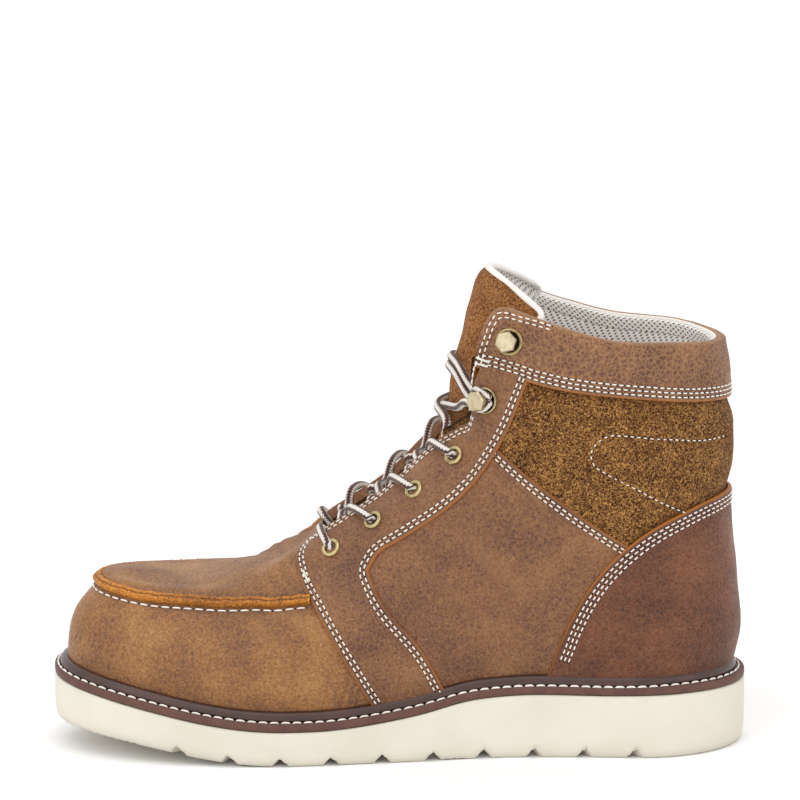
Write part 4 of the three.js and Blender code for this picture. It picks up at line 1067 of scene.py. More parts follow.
# The counter's colours are partly its own darker leather and partly painted shade of the boot's rear
COUNTER_LEATHER = OiledLeather("oiled_leather_counter", "#63361c", "#835131", "#3f2014")
COLLAR_LEATHER = OiledLeather("oiled_leather_collar", "#7a5036", "#ac8050", "#5b392a", grain=1.15, veins=0.55)
SEAM_EDGE = OiledLeather("raw_edge_leather", "#b8701c", "#d9932f", "#70400f", grain=1.0)
ANKLE_SUEDE = Suede("split_suede_ankle")
TONGUE_SUEDE = Suede("split_suede_tongue", "#8a5730", "#b5804c", "#553218", 0.8)
CREAM = CreamRubber("blown_rubber_cream")
WELT = RibbedWelt("ribbed_welt_board")
BEAD = PolishedEdge("waxed_bead")
MESH = SpacerMesh("spacer_mesh")
LINING = PlainCloth("lining_cloth", colour="#8f6a45")
BINDING = PlainCloth("binding_tape", colour="#ebe6e0")
FOOTBED = PlainCloth("footbed_cloth", colour="#c9b9a0", thread=1.0)
LACE = BraidedLace("braided_lace")
THREAD = Thread("bonded_thread")
HOLE = NeedleHole("needle_hole")
BRASS = WornMetal("antique_brass", bright="#c2b183", dull="#6d5d3c", rough=0.34)
STUD = WornMetal("brushed_champagne_plate", bright="#cdbf9f", dull="#b0a07c", rough=0.34)
WASHER = WornMetal("dark_plate", bright="#2c2722", dull="#14110f", rough=0.5)


@dataclass(frozen=True)
class Crease:
    """A soft trough with a ridge beside it, between two places of the side view.

    Args:
        start: X and Z of one end.
        end: X and Z of the other end.
        width: Half-width of the trough.
        depth: Depth of the trough.
    """

    start: tuple[float, float]
    end: tuple[float, float]
    width: float
    depth: float

    def lift(self, points: Array) -> Array:
        """Height that the crease adds: minus a bell over the distance, plus a lower bell beside it."""
        a, b = np.array(self.start), np.array(self.end)
        flat = points[..., [0, 2]] - a
        run = b - a
        share = np.clip(flat @ run / (run @ run), 0, 1)
        away = flat - share[..., None] * run
        across = away @ np.array([-run[1], run[0]]) / np.linalg.norm(run)
        distance = np.linalg.norm(away, axis=-1)
        fade = np.sin(math.pi * np.clip(0.08 + 0.84 * share, 0, 1)) ** 0.5
        trough = -np.exp(-((distance / self.width) ** 2))
        beside = np.abs(distance - np.abs(across)) < 2
        ridge = 0.5 * np.exp(-(((across - 1.8 * self.width) / self.width) ** 2)) * beside
        return self.depth * fade * (trough + ridge)


CREASES = (
    Crease((-66, 88), (-52, 74), 1.6, 0.5),
    Crease((-60, 91), (-47, 77), 1.5, 0.55),
    Crease((-72, 84), (-60, 73), 1.4, 0.35),
    Crease((-56, 62), (-38, 50), 4.0, 0.5),
    Crease((-75, 60), (-58, 44), 4.5, 0.45),
    Crease((22, 92), (44, 70), 6.0, 0.6),
    Crease((10, 74), (38, 52), 6.0, 0.45),
    Crease((44, 130), (58, 112), 3.0, 0.4),
    Crease((100, 70), (128, 62), 5.0, 0.4),
)


def creased(points: Array) -> Array:
    """Height of all creases together, with slow waves of the hide."""
    waves = 0.16 * ripple(points, 38) + 0.07 * ripple(points, 13, 2)
    return sum(crease.lift(points) for crease in CREASES) + waves


@dataclass
class Panel:
    """A piece of leather between two curves on the last.

    Rows run along the curves and columns from curve a to curve b. An exposed edge has a wall down to
    the ground and a small round over it.

    Args:
        a: Places of the first curve, shape (n, 2).
        b: Places of the second curve, shape (n, 2).
        low: Height of the ground under it.
        high: Height of its face.
        rows: Rows between the ends.
        columns: Columns between the edges.
        exposed: Whether the edges at a, at b, at the start and at the end show.
        swell: Height added to the face, from points and distance to the nearest edge, or None.
        flip: True where the rows run against the turn.
    """

    a: Array
    b: Array
    low: float
    high: float
    rows: int = 90
    columns: int = 40
    exposed: tuple[bool, bool, bool, bool] = (True, True, False, False)
    swell: object = None
    flip: bool = False

    def _steps(self, length: float, count: int, first: bool, last: bool) -> tuple[Array, Array]:
        """Shares along one way, closer at exposed edges, and whether each is the foot of a wall."""
        near = np.array([0, 0, 0.12, 0.35, 0.8]) / length
        inner = np.linspace(near[-1] * 1.8 if first else 0, 1 - near[-1] * 1.8 if last else 1, count)
        shares = np.concatenate([near if first else [], inner, (1 - near[::-1]) if last else []])
        foot = np.zeros(len(shares), bool)
        foot[0], foot[-1] = first, last
        return shares, foot

    def places(self, along: Array, across: Array) -> Array:
        """Places u, v at shares along and across the panel, by straight lines between the curves."""
        t = np.linspace(0, 1, len(self.a))
        line_a, line_b = read_rows(along, t, self.a), read_rows(along, t, self.b)
        return line_a + (line_b - line_a) * across[..., None]

    def width(self, along: Array) -> Array:
        """Distance over the surface from curve a to curve b."""
        steps = np.linspace(0, 1, 9)
        grid = self.places(np.repeat(along[..., None], 9, -1), np.broadcast_to(steps, (*along.shape, 9)))
        return np.linalg.norm(np.diff(LAST.point(grid[..., 0], grid[..., 1]), axis=-2), axis=-1).sum(-1)

    def surface(self, finish: int = 0, burnish: float = 0.5) -> Surface:
        """The panel's face with its walls.

        Formula: the face stands at its height plus its swell, less a small exponential round at the
        exposed edges; the foot of each wall stands on the ground.

        Args:
            finish: Index of the finish.
            burnish: How much the leather darkens towards its edges.

        Returns:
            The surface, with the marks tone, pull and cut.
        """
        middle = np.linspace(0, 1, 9)
        ends = LAST.point(*np.moveaxis(self.places(middle, np.full(9, 0.5)), -1, 0))
        length = np.linalg.norm(np.diff(ends, axis=0), axis=1).sum()
        along, foot_t = self._steps(length, self.rows, self.exposed[2], self.exposed[3])
        widths = np.maximum(self.width(along), 2.5)
        usual = float(np.median(widths))
        across, foot_s = self._steps(usual, self.columns, self.exposed[0], self.exposed[1])
        from_a, from_b = across * usual, (1 - across) * usual
        edge = 2.0
        s = np.where(from_a[None] < edge, from_a[None] / widths[:, None], across[None])
        s = np.where(from_b[None] < edge, 1 - from_b[None] / widths[:, None], s)
        s = np.sort(np.clip(s, 0, 1), axis=1)
        t = np.broadcast_to(along[:, None], s.shape)
        uv = self.places(t, s)
        ground = LAST.point(uv[..., 0], uv[..., 1])
        out = LAST.normal(uv[..., 0], uv[..., 1])
        far = 1e3
        rim = np.minimum.reduce([
            s * widths[:, None] if self.exposed[0] else np.full(s.shape, far),
            (1 - s) * widths[:, None] if self.exposed[1] else np.full(s.shape, far),
            t * length if self.exposed[2] else np.full(s.shape, far),
            (1 - t) * length if self.exposed[3] else np.full(s.shape, far),
        ])
        foot = foot_s[None, :] | foot_t[:, None]
        height = self.high - 0.4 * np.exp(-rim / 0.3) + creased(ground)
        if self.swell:
            height = height + self.swell(ground, rim)
        height = np.where(foot, self.low, height)
        cut = np.where(foot | (rim < 0.05), 1.0, np.clip(1.15 - rim / 0.55, 0, 1))
        tone = burnish * np.exp(-rim / 3.2)
        # tone: burnish towards the edges, plus painted shade and dirt close over the bead
        return Surface(ground + out * height[..., None], marks={
            "cut": cut, "tone": np.clip(tone + bead_shade_and_dirt(ground), 0, 1), "pull": pulled(ground, rim),
        }, finish=finish, flip=self.flip)

    def row(self, distance: float, from_b: bool = False, span: tuple = (0.0, 1.0), count: int = 500) -> Array:
        """Places along a line at a true distance inside one of the two curves.

        Formula: every point of the curve moves inwards over the surface, and a moving average over
        about three hundredths of the line rounds its corners.

        Args:
            distance: Distance in millimetres.
            from_b: True to measure from curve b.
            span: Shares of the length where the line starts and ends.
            count: Points of the line.

        Returns:
            Places u, v.
        """
        along = np.linspace(*span, count)
        line = self.places(along, np.full(count, 1.0 if from_b else 0.0))
        mate = self.places(along, np.full(count, 0.5))
        here, other = LAST.point(*line.T), LAST.point(*mate.T)
        way = np.cross(LAST.normal(*line.T), np.gradient(here, axis=0))
        inward = 1.0 if ((other - here) * way).sum() > 0 else -1.0
        moved = LAST.inset(line, distance, inward)
        return averaged(moved, 2 * int(count * ROW_SMOOTHING) + 1)


def bead_shade_and_dirt(points: Array) -> Array:
    """Painted shade and dirt on the leather close over the bead, by a fall with the height over it."""
    over = points[..., 2] - LAST.feather(points[..., 0])
    return 0.45 * np.exp(-np.maximum(over, 0) / 5)


def pulled(points: Array, rim: Array) -> Array:
    """Lighter wear: along the ridges beside the creases, and in a narrow line along the edges."""
    ridge = np.clip(sum(crease.lift(points) for crease in CREASES), 0, 1)
    return np.clip(1.2 * ridge + 0.25 * np.exp(-(((rim - 0.7) / 0.5) ** 2)), 0, 0.7)


@dataclass
class StitchRow:
    """A row of lockstitches in the leather.

    Args:
        pitch: Distance from needle hole to needle hole.
        length: Length of thread that shows.
        thread: Half-thickness of the thread.
        lift: Height of its middle over the leather's face.
    """

    pitch: float = 3.1
    length: float = 2.35
    thread: float = 0.34
    lift: float = 0.1

    def surfaces(self, path: Array, out: Array) -> list[Surface]:
        """Stitches and needle holes along a path.

        Formula: each stitch is a tube whose middle line bows up by a parabola and whose radius
        closes with a fourth power at both ends; each hole is a small dark dome between two.

        Args:
            path: Points on the leather's face, shape (n, 3).
            out: Directions away from the leather, shape (n, 3).

        Returns:
            The surfaces of thread (finish 0) and holes (finish 1).
        """
        arc = arc_of(path)
        count = max(int(arc[-1] / self.pitch), 1)
        pitch = arc[-1] / count
        centres = (np.arange(count) + 0.5) * pitch
        place = np.linspace(-1, 1, 6)
        at = centres[:, None] + place * self.length * pitch / self.pitch / 2
        line, away = read_rows(at, arc, path), unit(read_rows(at, arc, out))
        along = unit(np.gradient(line, axis=1))
        across = unit(np.cross(away, along))
        line = line + away * (self.lift + 0.5 * self.thread * (1 - place**2) - 0.2 * place**4)[:, None]
        radius = self.thread * (1 - place**4 * 0.999) ** 0.5
        ring = np.linspace(0, 2 * math.pi, 7)
        tube = line[:, :, None] + radius[:, None, None] * (
            across[:, :, None] * np.cos(ring)[:, None] + away[:, :, None] * np.sin(ring)[:, None]
        )
        at = np.arange(count + 1) * pitch
        spot, away = read_rows(at, arc, path), unit(read_rows(at, arc, out))
        ahead = unit(read_rows(at, arc, np.gradient(path, axis=0)))
        aside = np.cross(away, ahead)
        dome = np.array([0.0, 0.7, 1.0])
        size = 0.36 * np.sin(dome * math.pi / 2)[:, None]
        wall = spot[:, None, None] + size[..., None] * 1.25 * (
            ahead[:, None, None] * np.cos(ring)[:, None] + aside[:, None, None] * np.sin(ring)[:, None]
        ) + away[:, None, None] * (0.1 * np.cos(dome * math.pi / 2) - 0.01)[:, None, None]
        return [Surface(tube, finish=0), Surface(wall, finish=1)]

    def on_last(self, places: Array, height: float) -> list[Surface]:
        """Stitches along places u, v at a height over the last."""
        u, v = places[:, 0], places[:, 1]
        points = LAST.point(u, v)
        out = LAST.normal(u, v)
        return self.surfaces(points + out * (height + creased(points))[:, None], out)


def make_stitches(name: str, groups: list[list[Surface]]) -> bpy.types.Object:
    """One piece from many rows of stitches."""
    return make_piece(name, [s for group in groups for s in group], [THREAD, HOLE])


@dataclass
class SoleUnit:
    """Outsole, welt strip and storm bead.

    Args:
        tuck: How far the underside's edge is drawn in.
        lug_pitch: Spacing of the V notches.
        lug_depth: Depth of a notch.
        lug_mouth: Width of a notch at the floor.
        lug_reach: How far a notch runs in from the edge.
        bead_height: Height of the bead over the welt.
        bead_width: Width of the bead.
        first_lug: Place of the first notch, as a share of the length from the middle.
        lug_span: Share of the length that has notches.
    """

    tuck: float = 1.6
    lug_pitch: float = 22.8
    lug_depth: float = 5.6
    lug_mouth: float = 7.6
    lug_reach: float = 17.0
    bead_height: float = 4.4
    bead_width: float = 3.2
    first_lug: float = -0.32
    lug_span: float = 0.69

    def _lugs(self) -> Array:
        """Places of the notches' middles along X."""
        count = int(self.lug_span * LAST.sole_length / self.lug_pitch) + 1
        return self.first_lug * LAST.sole_length + self.lug_pitch * np.arange(count)

    def _rounds(self) -> Array:
        """Places round the foot, with one at each corner of a notch."""
        x = (self._lugs()[:, None] + np.array([-0.5, -0.02, 0.02, 0.5]) * self.lug_mouth).ravel()
        turns = LAST.turn_of(x / LAST.sole_length + 0.5)
        return np.unique(np.concatenate([np.linspace(0, 2, 561), turns, 2 - turns]))

    def _notch(self, x: Array) -> Array:
        """Height that the V notches cut up into the underside, and fine teeth at toe and waist."""
        first, last = self._lugs()[[0, -1]]
        nearest = first + self.lug_pitch * np.round((x - first) / self.lug_pitch)
        away = np.abs(x - np.clip(nearest, first, last)) / (self.lug_mouth / 2)
        notch = self.lug_depth * np.clip(1 - away, 0, 1)
        teeth = 1.1 * np.abs(np.mod(x / 3.4, 1) - 0.5) * 2
        fine = teeth * (((x > -150) & (x < -118)) | ((x > 12) & (x < 30)))
        return np.maximum(notch, fine)

    def build(self) -> None:
        """Builds outsole, welt, bead and the welt's stitches."""
        u = self._rounds()
        rows = [
            (0.55 * BALL / 2, 0.0, 0.0), (self.lug_reach + 0.6, 0.0, 0.0), (self.lug_reach, 0.0, 1.0),
            (8.0, 0.0, 1.0), (self.tuck + 1.2, 0.0, 1.0), (self.tuck + 0.2, 0.02, 1.0), (self.tuck - 0.3, 0.05, 0.95),
            (0.3 * self.tuck, 0.18, 0.8), (0.1, 0.34, 0.3), (0.0, 0.5, 0.0), (0.0, 0.75, 0.0), (0.0, 0.9, 0.0),
            (0.05, 0.97, 0.0), (0.5, 0.998, 0.0), (1.6, 1.0, 0.0), (12.0, 1.0, 0.0), (0.55 * BALL / 2, 1.0, 0.0),
        ]
        grid = []
        for inset, share, open_share in rows:
            x, y = LAST.edge(u, inset)
            edge_x = LAST.edge(u)[0]
            low, high = LAST.bottom(x), LAST.sole_top(x)
            depth = low + (high - low) * (share if share > 0.5 else share * LAST.sole_at_ball / 22)
            cut = low + open_share * self._notch(edge_x)
            grid.append(np.stack([x, y, np.maximum(depth, cut)], -1))
        points = np.stack(grid, 1)
        over = points[..., 2] - LAST.bottom(points[..., 0])
        under = LAST.sole_top(points[..., 0]) - points[..., 2]
        tone = 0.35 * np.exp(-over / 2.0) + 0.10 * np.exp(-np.abs(under))
        centre = points.copy()[:, :1]
        centre[..., 1] = LAST.swing(centre[..., 0])
        top = points.copy()[:, -1:]
        top[..., 1] = LAST.swing(top[..., 0])
        whole = np.concatenate([centre, points, top], 1)
        marks = {"tone": np.concatenate([tone[:, :1], tone, tone[:, -1:]], 1)}
        make_piece("outsole_unit", [Surface(whole, marks=marks)], [CREAM], ("outsole",))
        self._welt()
        self._bead()

    def _welt(self) -> None:
        """Welt strip with a rounded side, flush with the sole, and its lockstitch."""
        u = np.linspace(0, 2, 601)
        under = LAST.surface(u, np.zeros_like(u), -3.0)
        sections = [
            (None, 0.0), (1.2, 0.0), (0.25, 0.06), (0.0, 0.25), (0.0, 0.75), (0.25, 0.94), (1.1, 1.0),
            (2.2, 1.0), (3.4, 1.0), (None, 1.0), (None, 0.0),
        ]
        grid = []
        for inset, share in sections:
            x, y = (under[:, 0], under[:, 1]) if inset is None else LAST.edge(u, inset)
            low, high = LAST.sole_top(x) + LAST.gap, LAST.welt_top(x)
            sink = 0.35 if inset == 2.2 else 0.0
            grid.append(np.stack([x, y, low + (high - low) * share - sink], -1))
        points = np.stack(grid, 1)
        surface = Surface(points, uv=arc_uv(points))
        make_piece("welt_strip", [surface], [WELT], ("welt",))
        u = np.linspace(0, 2, 2001)
        foot = LAST.surface(u, np.zeros_like(u), self.bead_width + 0.9)
        edge = np.stack(LAST.edge(u, 0.7), -1)
        path = foot.copy()
        path[:, :2] = foot[:, :2] + (edge - foot[:, :2]) * 0.3
        path[:, 2] = LAST.welt_top(path[:, 0]) - 0.05
        row = StitchRow(pitch=5.0, length=4.6, thread=0.5, lift=0.1)
        upwards = np.broadcast_to([0.0, 0, 1], path.shape)
        make_stitches("welt_stitches", [row.surfaces(path, upwards)])

    def _bead(self) -> None:
        """Storm bead: a quarter round on the welt, close to the leather."""
        u = np.linspace(0, 2, 601)
        angle = np.linspace(-0.35, math.pi / 2, 12)
        foot = LAST.surface(u, np.zeros_like(u), LAST.gap)
        out = LAST.normal(u, np.zeros_like(u))
        out[:, 2] = 0
        out = unit(out)
        ground = LAST.welt_top(foot[:, 0]) + 0.15
        reach = self.bead_width * np.cos(angle).clip(0.0) + 0.2
        rise = self.bead_height * np.sin(angle).clip(0.0) ** 0.8
        points = foot[:, None] + out[:, None] * reach[:, None]
        points[..., 2] = ground[:, None] + rise
        inner = foot - out * 1.2
        inner[:, 2] = ground + self.bead_height * 0.9
        bottom = foot - out * 1.2
        bottom[:, 2] = ground
        points = np.concatenate([bottom[:, None], points, inner[:, None], bottom[:, None]], 1)
        make_piece("storm_bead_cord", [Surface(points)], [BEAD], ("storm_bead",))


def side_line(corners: list[tuple[float, float]], count: int = 160) -> Array:
    """A smooth line of the side view, from shares of the length and heights over the feather line."""
    return smooth_path([(LAST.along(share), LAST.over(height)) for share, height in corners], count)


WING_CORNER = [
    (0.4100, 1.0), (0.3960, 0.985), (0.3860, 0.93), (0.3848, 0.86), (0.3880, 0.79), (0.3902, 0.744),
]
WING_FRONT = [
    (0.3474, 0.548 * INSTEP), (0.351, 0.503 * INSTEP), (0.359, 0.446 * INSTEP),
    (0.3717, 0.389 * INSTEP), (0.3831, 0.331 * INSTEP), (0.421, 0.13 * INSTEP),
    (0.470, -0.13 * INSTEP),
]
SEAM_END = [
    (0.10, 0.392 * INSTEP), (0.2, 0.392 * INSTEP), (0.2461, 0.3869 * INSTEP),
    (0.2697, 0.3864 * INSTEP), (0.2947, 0.3885 * INSTEP), (0.32, 0.3932 * INSTEP),
    (0.3392, 0.4005 * INSTEP), (0.3742, 0.410 * INSTEP), (0.45, 0.45 * INSTEP),
]
WING_REAR_HIGH = [
    (0.70, 0.95 * SHAFT), (0.695, 0.93 * SHAFT), (0.657, 0.75 * SHAFT), (0.612, 0.958 * INSTEP),
    (0.503, 0.69 * INSTEP), (0.471, 0.624 * INSTEP), (0.455, 0.543 * INSTEP),
]
WING_REAR_LOW = [
    (0.455, 0.543 * INSTEP), (0.470, 0.433 * INSTEP), (0.535, 0.18 * INSTEP), (0.575, -0.06 * INSTEP),
]
CUFF_EDGE = [
    (0.55, 0.965 * SHAFT), (0.615, 0.952 * SHAFT), (0.74, 0.893 * SHAFT), (0.88, 0.857 * SHAFT),
    (1.05, 0.815 * SHAFT),
]
COUNTER_EDGE = [
    (0.712, -0.06 * SHAFT), (0.745, 0.14 * SHAFT), (0.795, 0.325 * SHAFT), (0.87, 0.463 * SHAFT),
    (0.94, 0.525 * SHAFT), (1.05, 0.57 * SHAFT),
]
QUARTER_EDGE = [
    (0.40, 1.16 * SHAFT), (0.62, 0.765 * SHAFT), (0.695, 0.632 * SHAFT), (0.85, 0.414 * SHAFT),
    (0.90, 0.36 * SHAFT),
]


@dataclass
class Upper:
    """Vamp, quarters, plug, wings, counter, ankle suede, collar and linings.

    Args:
        wall: Thickness of the leather with its lining.
        overlay: Height of an overlay's face over the last.
        recess: How far the wall lies back behind the wing.
        seam_place: Place of the moc seam up the foot.
        bar_tacks: X and Z of both ends of each bar tack, and its height.
        cuff_front: X and Z of the outer stitch row at the cuff's front.
        cuff_front_inner: X and Z of the row inside it.
    """

    wall: float = 3.0
    overlay: float = 1.8
    recess: float = 1.9
    seam_place: float = 0.50
    bar_tacks: tuple[tuple[tuple[tuple[float, float], tuple[float, float]], float], ...] = (
        (((-42.4, 82.2), (-40.2, 78.0)), 1.8), (((35.6, 180.7), (40.6, 178.9)), 2.9), (((35.2, 177.9), (39.8, 177.0)), 2.4),
    )
    cuff_front: tuple[tuple[float, float], ...] = (
        (35.2, 176.0), (36.6, 182.5), (38.4, 190.0), (40.2, 196.5), (42.6, 199.8), (46.5, 200.6), (54.0, 199.0), (67.0, 195.6),
    )
    cuff_front_inner: tuple[tuple[float, float], ...] = (
        (37.1, 177.0), (38.4, 183.0), (40.1, 189.8), (41.8, 195.3), (43.6, 197.7), (47.0, 198.5), (54.0, 197.1), (66.6, 193.8),
    )

    def build(self) -> None:
        """Builds every leather piece of the upper."""
        self._shell()
        self._quarters()
        self._ankle()
        self._wings()
        self._plug()
        self._moc_seam()
        self._counter()
        self._collar()
        self._collar_lining()

    def _shell(self) -> None:
        """The vamp and the wall under the overlays, with the lining inside."""
        u, v = np.meshgrid(np.linspace(0, 2, 361), np.linspace(0, 1, 72) ** 0.9, indexing="ij")
        ground = LAST.point(u, v)
        out = LAST.normal(u, v)
        middle = side_line([
            (0.62, 0.97 * SHAFT), (0.56, 0.85 * INSTEP), (0.41, 0.60 * INSTEP), (0.41, 0.48 * INSTEP),
            (0.47, 0.16 * INSTEP), (0.53, -0.12 * INSTEP),
        ])[::-1]
        behind = ground[..., 0] - np.interp(ground[..., 2], middle[:, 1], middle[:, 0])
        sunk = -self.recess * smoothstep(-1.5, 1.5, behind)
        lower = -0.5 * smoothstep(self.seam_place - 0.01, self.seam_place + 0.03, v) * (behind < 0)
        height = sunk + lower + creased(ground) * (behind < 0)
        # Painted shade in a band on the vamp just under the raised moc seam
        seam_shade = np.exp(-(((v - self.seam_place + 0.04) / 0.02) ** 2)) * (ground[..., 0] < -20)
        # tone: painted shade and dirt close over the bead, plus the painted shade under the moc seam
        marks = {
            "tone": np.clip(bead_shade_and_dirt(ground) + 0.35 * seam_shade, 0, 1),
            "pull": pulled(ground, np.full(u.shape, 9.0)), "cut": np.zeros(u.shape),
        }
        face = Surface(ground + out * height[..., None], marks=marks)
        inner = Surface(ground - out * self.wall, finish=1, flip=True)
        roll = np.linspace(0, 1, 5)
        top = height[:, -1:, None]
        rim = ground[:, -1:] + out[:, -1:] * (top + (-self.wall - top) * roll[:, None])
        none = np.zeros(rim.shape[:2])
        rim_marks = {"tone": none + 0.35, "cut": none, "pull": none}
        foot = ground[:, :1] + out[:, :1] * (-self.wall + (height[:, :1, None] + self.wall) * roll[:, None])
        make_piece(
            "vamp_and_wall", [face, inner, Surface(rim, marks=rim_marks), Surface(foot)],
            [VAMP_LEATHER, LINING], ("upper",),
        )

    def _quarters(self) -> None:
        """Quarter leather below the ankle suede, with its double stitch row."""
        line = side_line(QUARTER_EDGE)
        rows = []
        surfaces = []
        for side in Side:
            turn = np.linspace(float(LAST.turn_of(0.40)), float(LAST.turn_of(0.90)), 260)
            u = LAST.u(side, turn)
            top = np.minimum(LAST.at_height(u, line), 0.93)
            panel = Panel(
                np.stack([u, np.zeros_like(u)], -1), np.stack([u, top], -1), -self.recess, 0.0,
                rows=120, columns=50, exposed=(False, True, False, False), flip=side is Side.OUTER,
            )
            surfaces.append(panel.surface())
            for distance in (2.0, 3.8):
                rows.append(StitchRow().on_last(panel.row(distance, True, (0.30, 0.90)), 0.0))
        make_piece("quarter_leather", surfaces, [QUARTER_LEATHER])
        make_stitches("quarter_stitches", rows)

    def _ankle(self) -> None:
        """Padded suede round the ankle, with the single row of its heel loop."""
        quarter, counter, cuff = side_line(QUARTER_EDGE), side_line(COUNTER_EDGE), side_line(CUFF_EDGE)
        u = np.linspace(float(LAST.turn_of(0.60)), 2 - float(LAST.turn_of(0.60)), 420)
        low = np.maximum(LAST.at_height(u, quarter), LAST.at_height(u, counter)) - 0.035
        low = np.where(LAST.sides(u)[1] < 0.66, LAST.at_height(u, quarter) - 0.035, low)
        high = LAST.at_height(u, cuff) + 0.03
        def puff(points: Array, rim: Array) -> Array:
            """Padding: fullest in the middle of the panel, tucked in at its seams."""
            return 1.9 * smoothstep(3, 17, rim) + 0.25 * ripple(points, 24, 1) * smoothstep(4, 12, rim)
        panel = Panel(
            np.stack([u, low], -1), np.stack([u, np.maximum(high, low + 0.02)], -1), -self.recess, -0.9,
            rows=300, columns=60, swell=puff,
        )
        surface = panel.surface(burnish=0.8)
        surface.marks["cut"] = np.zeros(surface.marks["cut"].shape)
        suede = make_piece("ankle_suede_panel", [surface], [ANKLE_SUEDE], ("ankle_panel",))
        loop = [(147.0, 141.5), (134.0, 141.6), (122.2, 143.4), (109.7, 145.0), (98.6, 146.6), (91.8, 146.8), (86.3, 143.4),
                (84.1, 138.9), (85.5, 133.9), (90.8, 130.1), (104.3, 122.6), (115.7, 115.6), (124.2, 111.1), (131, 107.5)]
        rows = []
        for side in Side:
            places = LAST.find(side, smooth_path(loop, 220)[6:])
            rows.append(StitchRow(pitch=3.0, length=1.9, thread=0.26, lift=-0.05).on_last(places, 1.0))
        make_stitches("ankle_stitches", rows)

    def _wing_curves(self, side: Side) -> tuple[Array, Array]:
        """Front and rear curve of a wing, from the cuff down to the feather line."""
        top = LAST.throat_u(side, 33.5)
        corner = smooth_path(WING_CORNER, 40)
        corner[:, 0] = LAST.u(side, corner[:, 0])
        throat = np.stack([np.linspace(top, corner[0, 0], 160), np.full(160, 1.0)], -1)
        front = LAST.find(side, side_line(WING_FRONT, 120))
        high = LAST.find(side, side_line(WING_REAR_HIGH, 160))
        low = LAST.find(side, side_line(WING_REAR_LOW, 120))
        a = np.concatenate([evenly(throat, 160), evenly(np.concatenate([corner, front[1:]]), 121)[1:]])
        b = np.concatenate([evenly(high, 160), evenly(low, 121)[1:]])
        return a, b

    def _wings(self) -> None:
        """Wings with the eyestays, double stitched along every edge."""
        for side in Side:
            a, b = self._wing_curves(side)
            panel = Panel(a, b, -self.recess, self.overlay, rows=170, columns=44, flip=side is Side.INNER)
            name = side.name.lower()
            leather = panel.surface(burnish=0.45)
            leather.marks["cut"][:96, :6] *= 0.15
            make_piece(f"wing_{name}", [leather], [QUARTER_LEATHER], (f"eyestay_{name}",))
            rows = []
            for distance in (2.0, 3.9):
                rows.append(StitchRow().on_last(panel.row(distance, False, (0.02, 0.992)), self.overlay))
                rows.append(StitchRow().on_last(panel.row(distance, True, (0.03, 0.99)), self.overlay))
            for ends, height in self.bar_tacks:
                tack = LAST.find(side, np.linspace(*ends, 12))
                rows.append(StitchRow(pitch=0.55, length=0.6, thread=0.55, lift=0.2).on_last(tack, height))
            make_stitches(f"wing_stitches_{name}", rows)

    def _plug(self) -> None:
        """Plug over the toes: both sides run from the seam up to the ridge, with fine folds at the flex.

        Formula: the face sinks towards the wings and the seam; the folds are a sine of X with some Z,
        shifted by slow waves, and fade to the ridge and to both ends of the flex line.
        """
        turn = np.linspace(0, float(LAST.turn_of(0.362)), 90)
        v = 1 - np.abs(np.linspace(-1, 1, 121)) * (1 - self.seam_place - 0.012)
        w = np.linspace(-1, 1, 121)
        tt, ww = np.meshgrid(turn, w, indexing="ij")
        vv = np.broadcast_to(v, tt.shape)
        uu = np.where(ww <= 0, tt, 2 - tt)
        ground, out = LAST.point(uu, vv), LAST.normal(uu, vv)
        other = LAST.point(2 - uu, vv)
        ridge = (np.abs(ww) < 1e-6)[..., None]
        ground = np.where(ridge, (ground + other) / 2, ground)
        out = np.where(ridge, unit(out * [1, 0, 1]), out)
        edge = (1 - np.abs(ww)) * 42
        front = side_line([(0.378, 0.70 * INSTEP), *WING_FRONT])[::-1]
        ahead = np.interp(ground[..., 2], front[:, 1], front[:, 0]) - ground[..., 0]
        height = 0.55 + 0.9 * smoothstep(2, 16, ahead) + 0.5 * smoothstep(1, 8, edge) - 0.9 * np.exp(-edge / 1.2)
        calm = smoothstep(9, 22, np.abs(ground[..., 1] - LAST.swing(ground[..., 0])))
        flex = smoothstep(-84, -70, ground[..., 0]) * (1 - smoothstep(-50, -46, ground[..., 0])) * calm
        fold = np.sin(2 * math.pi * (ground[..., 0] + 0.3 * ground[..., 2]) / 2.4 + 2.2 * ripple(ground, 17, 2))
        height = height + creased(ground) * (0.1 + 0.9 * calm) + 0.1 * flex * fold
        # tone: painted shade on the plug beside the raised moc seam and under the wing's front edge
        marks = {
            "tone": 0.5 * np.exp(-edge / 2.5) + 0.3 * np.exp(-np.maximum(ahead, 0) / 3),
            "pull": pulled(ground, np.full(uu.shape, 9.0)), "cut": np.zeros(uu.shape),
        }
        face = Surface(ground + out * height[..., None], marks=marks)
        make_piece("toe_plug", [face], [VAMP_LEATHER], ("plug",))

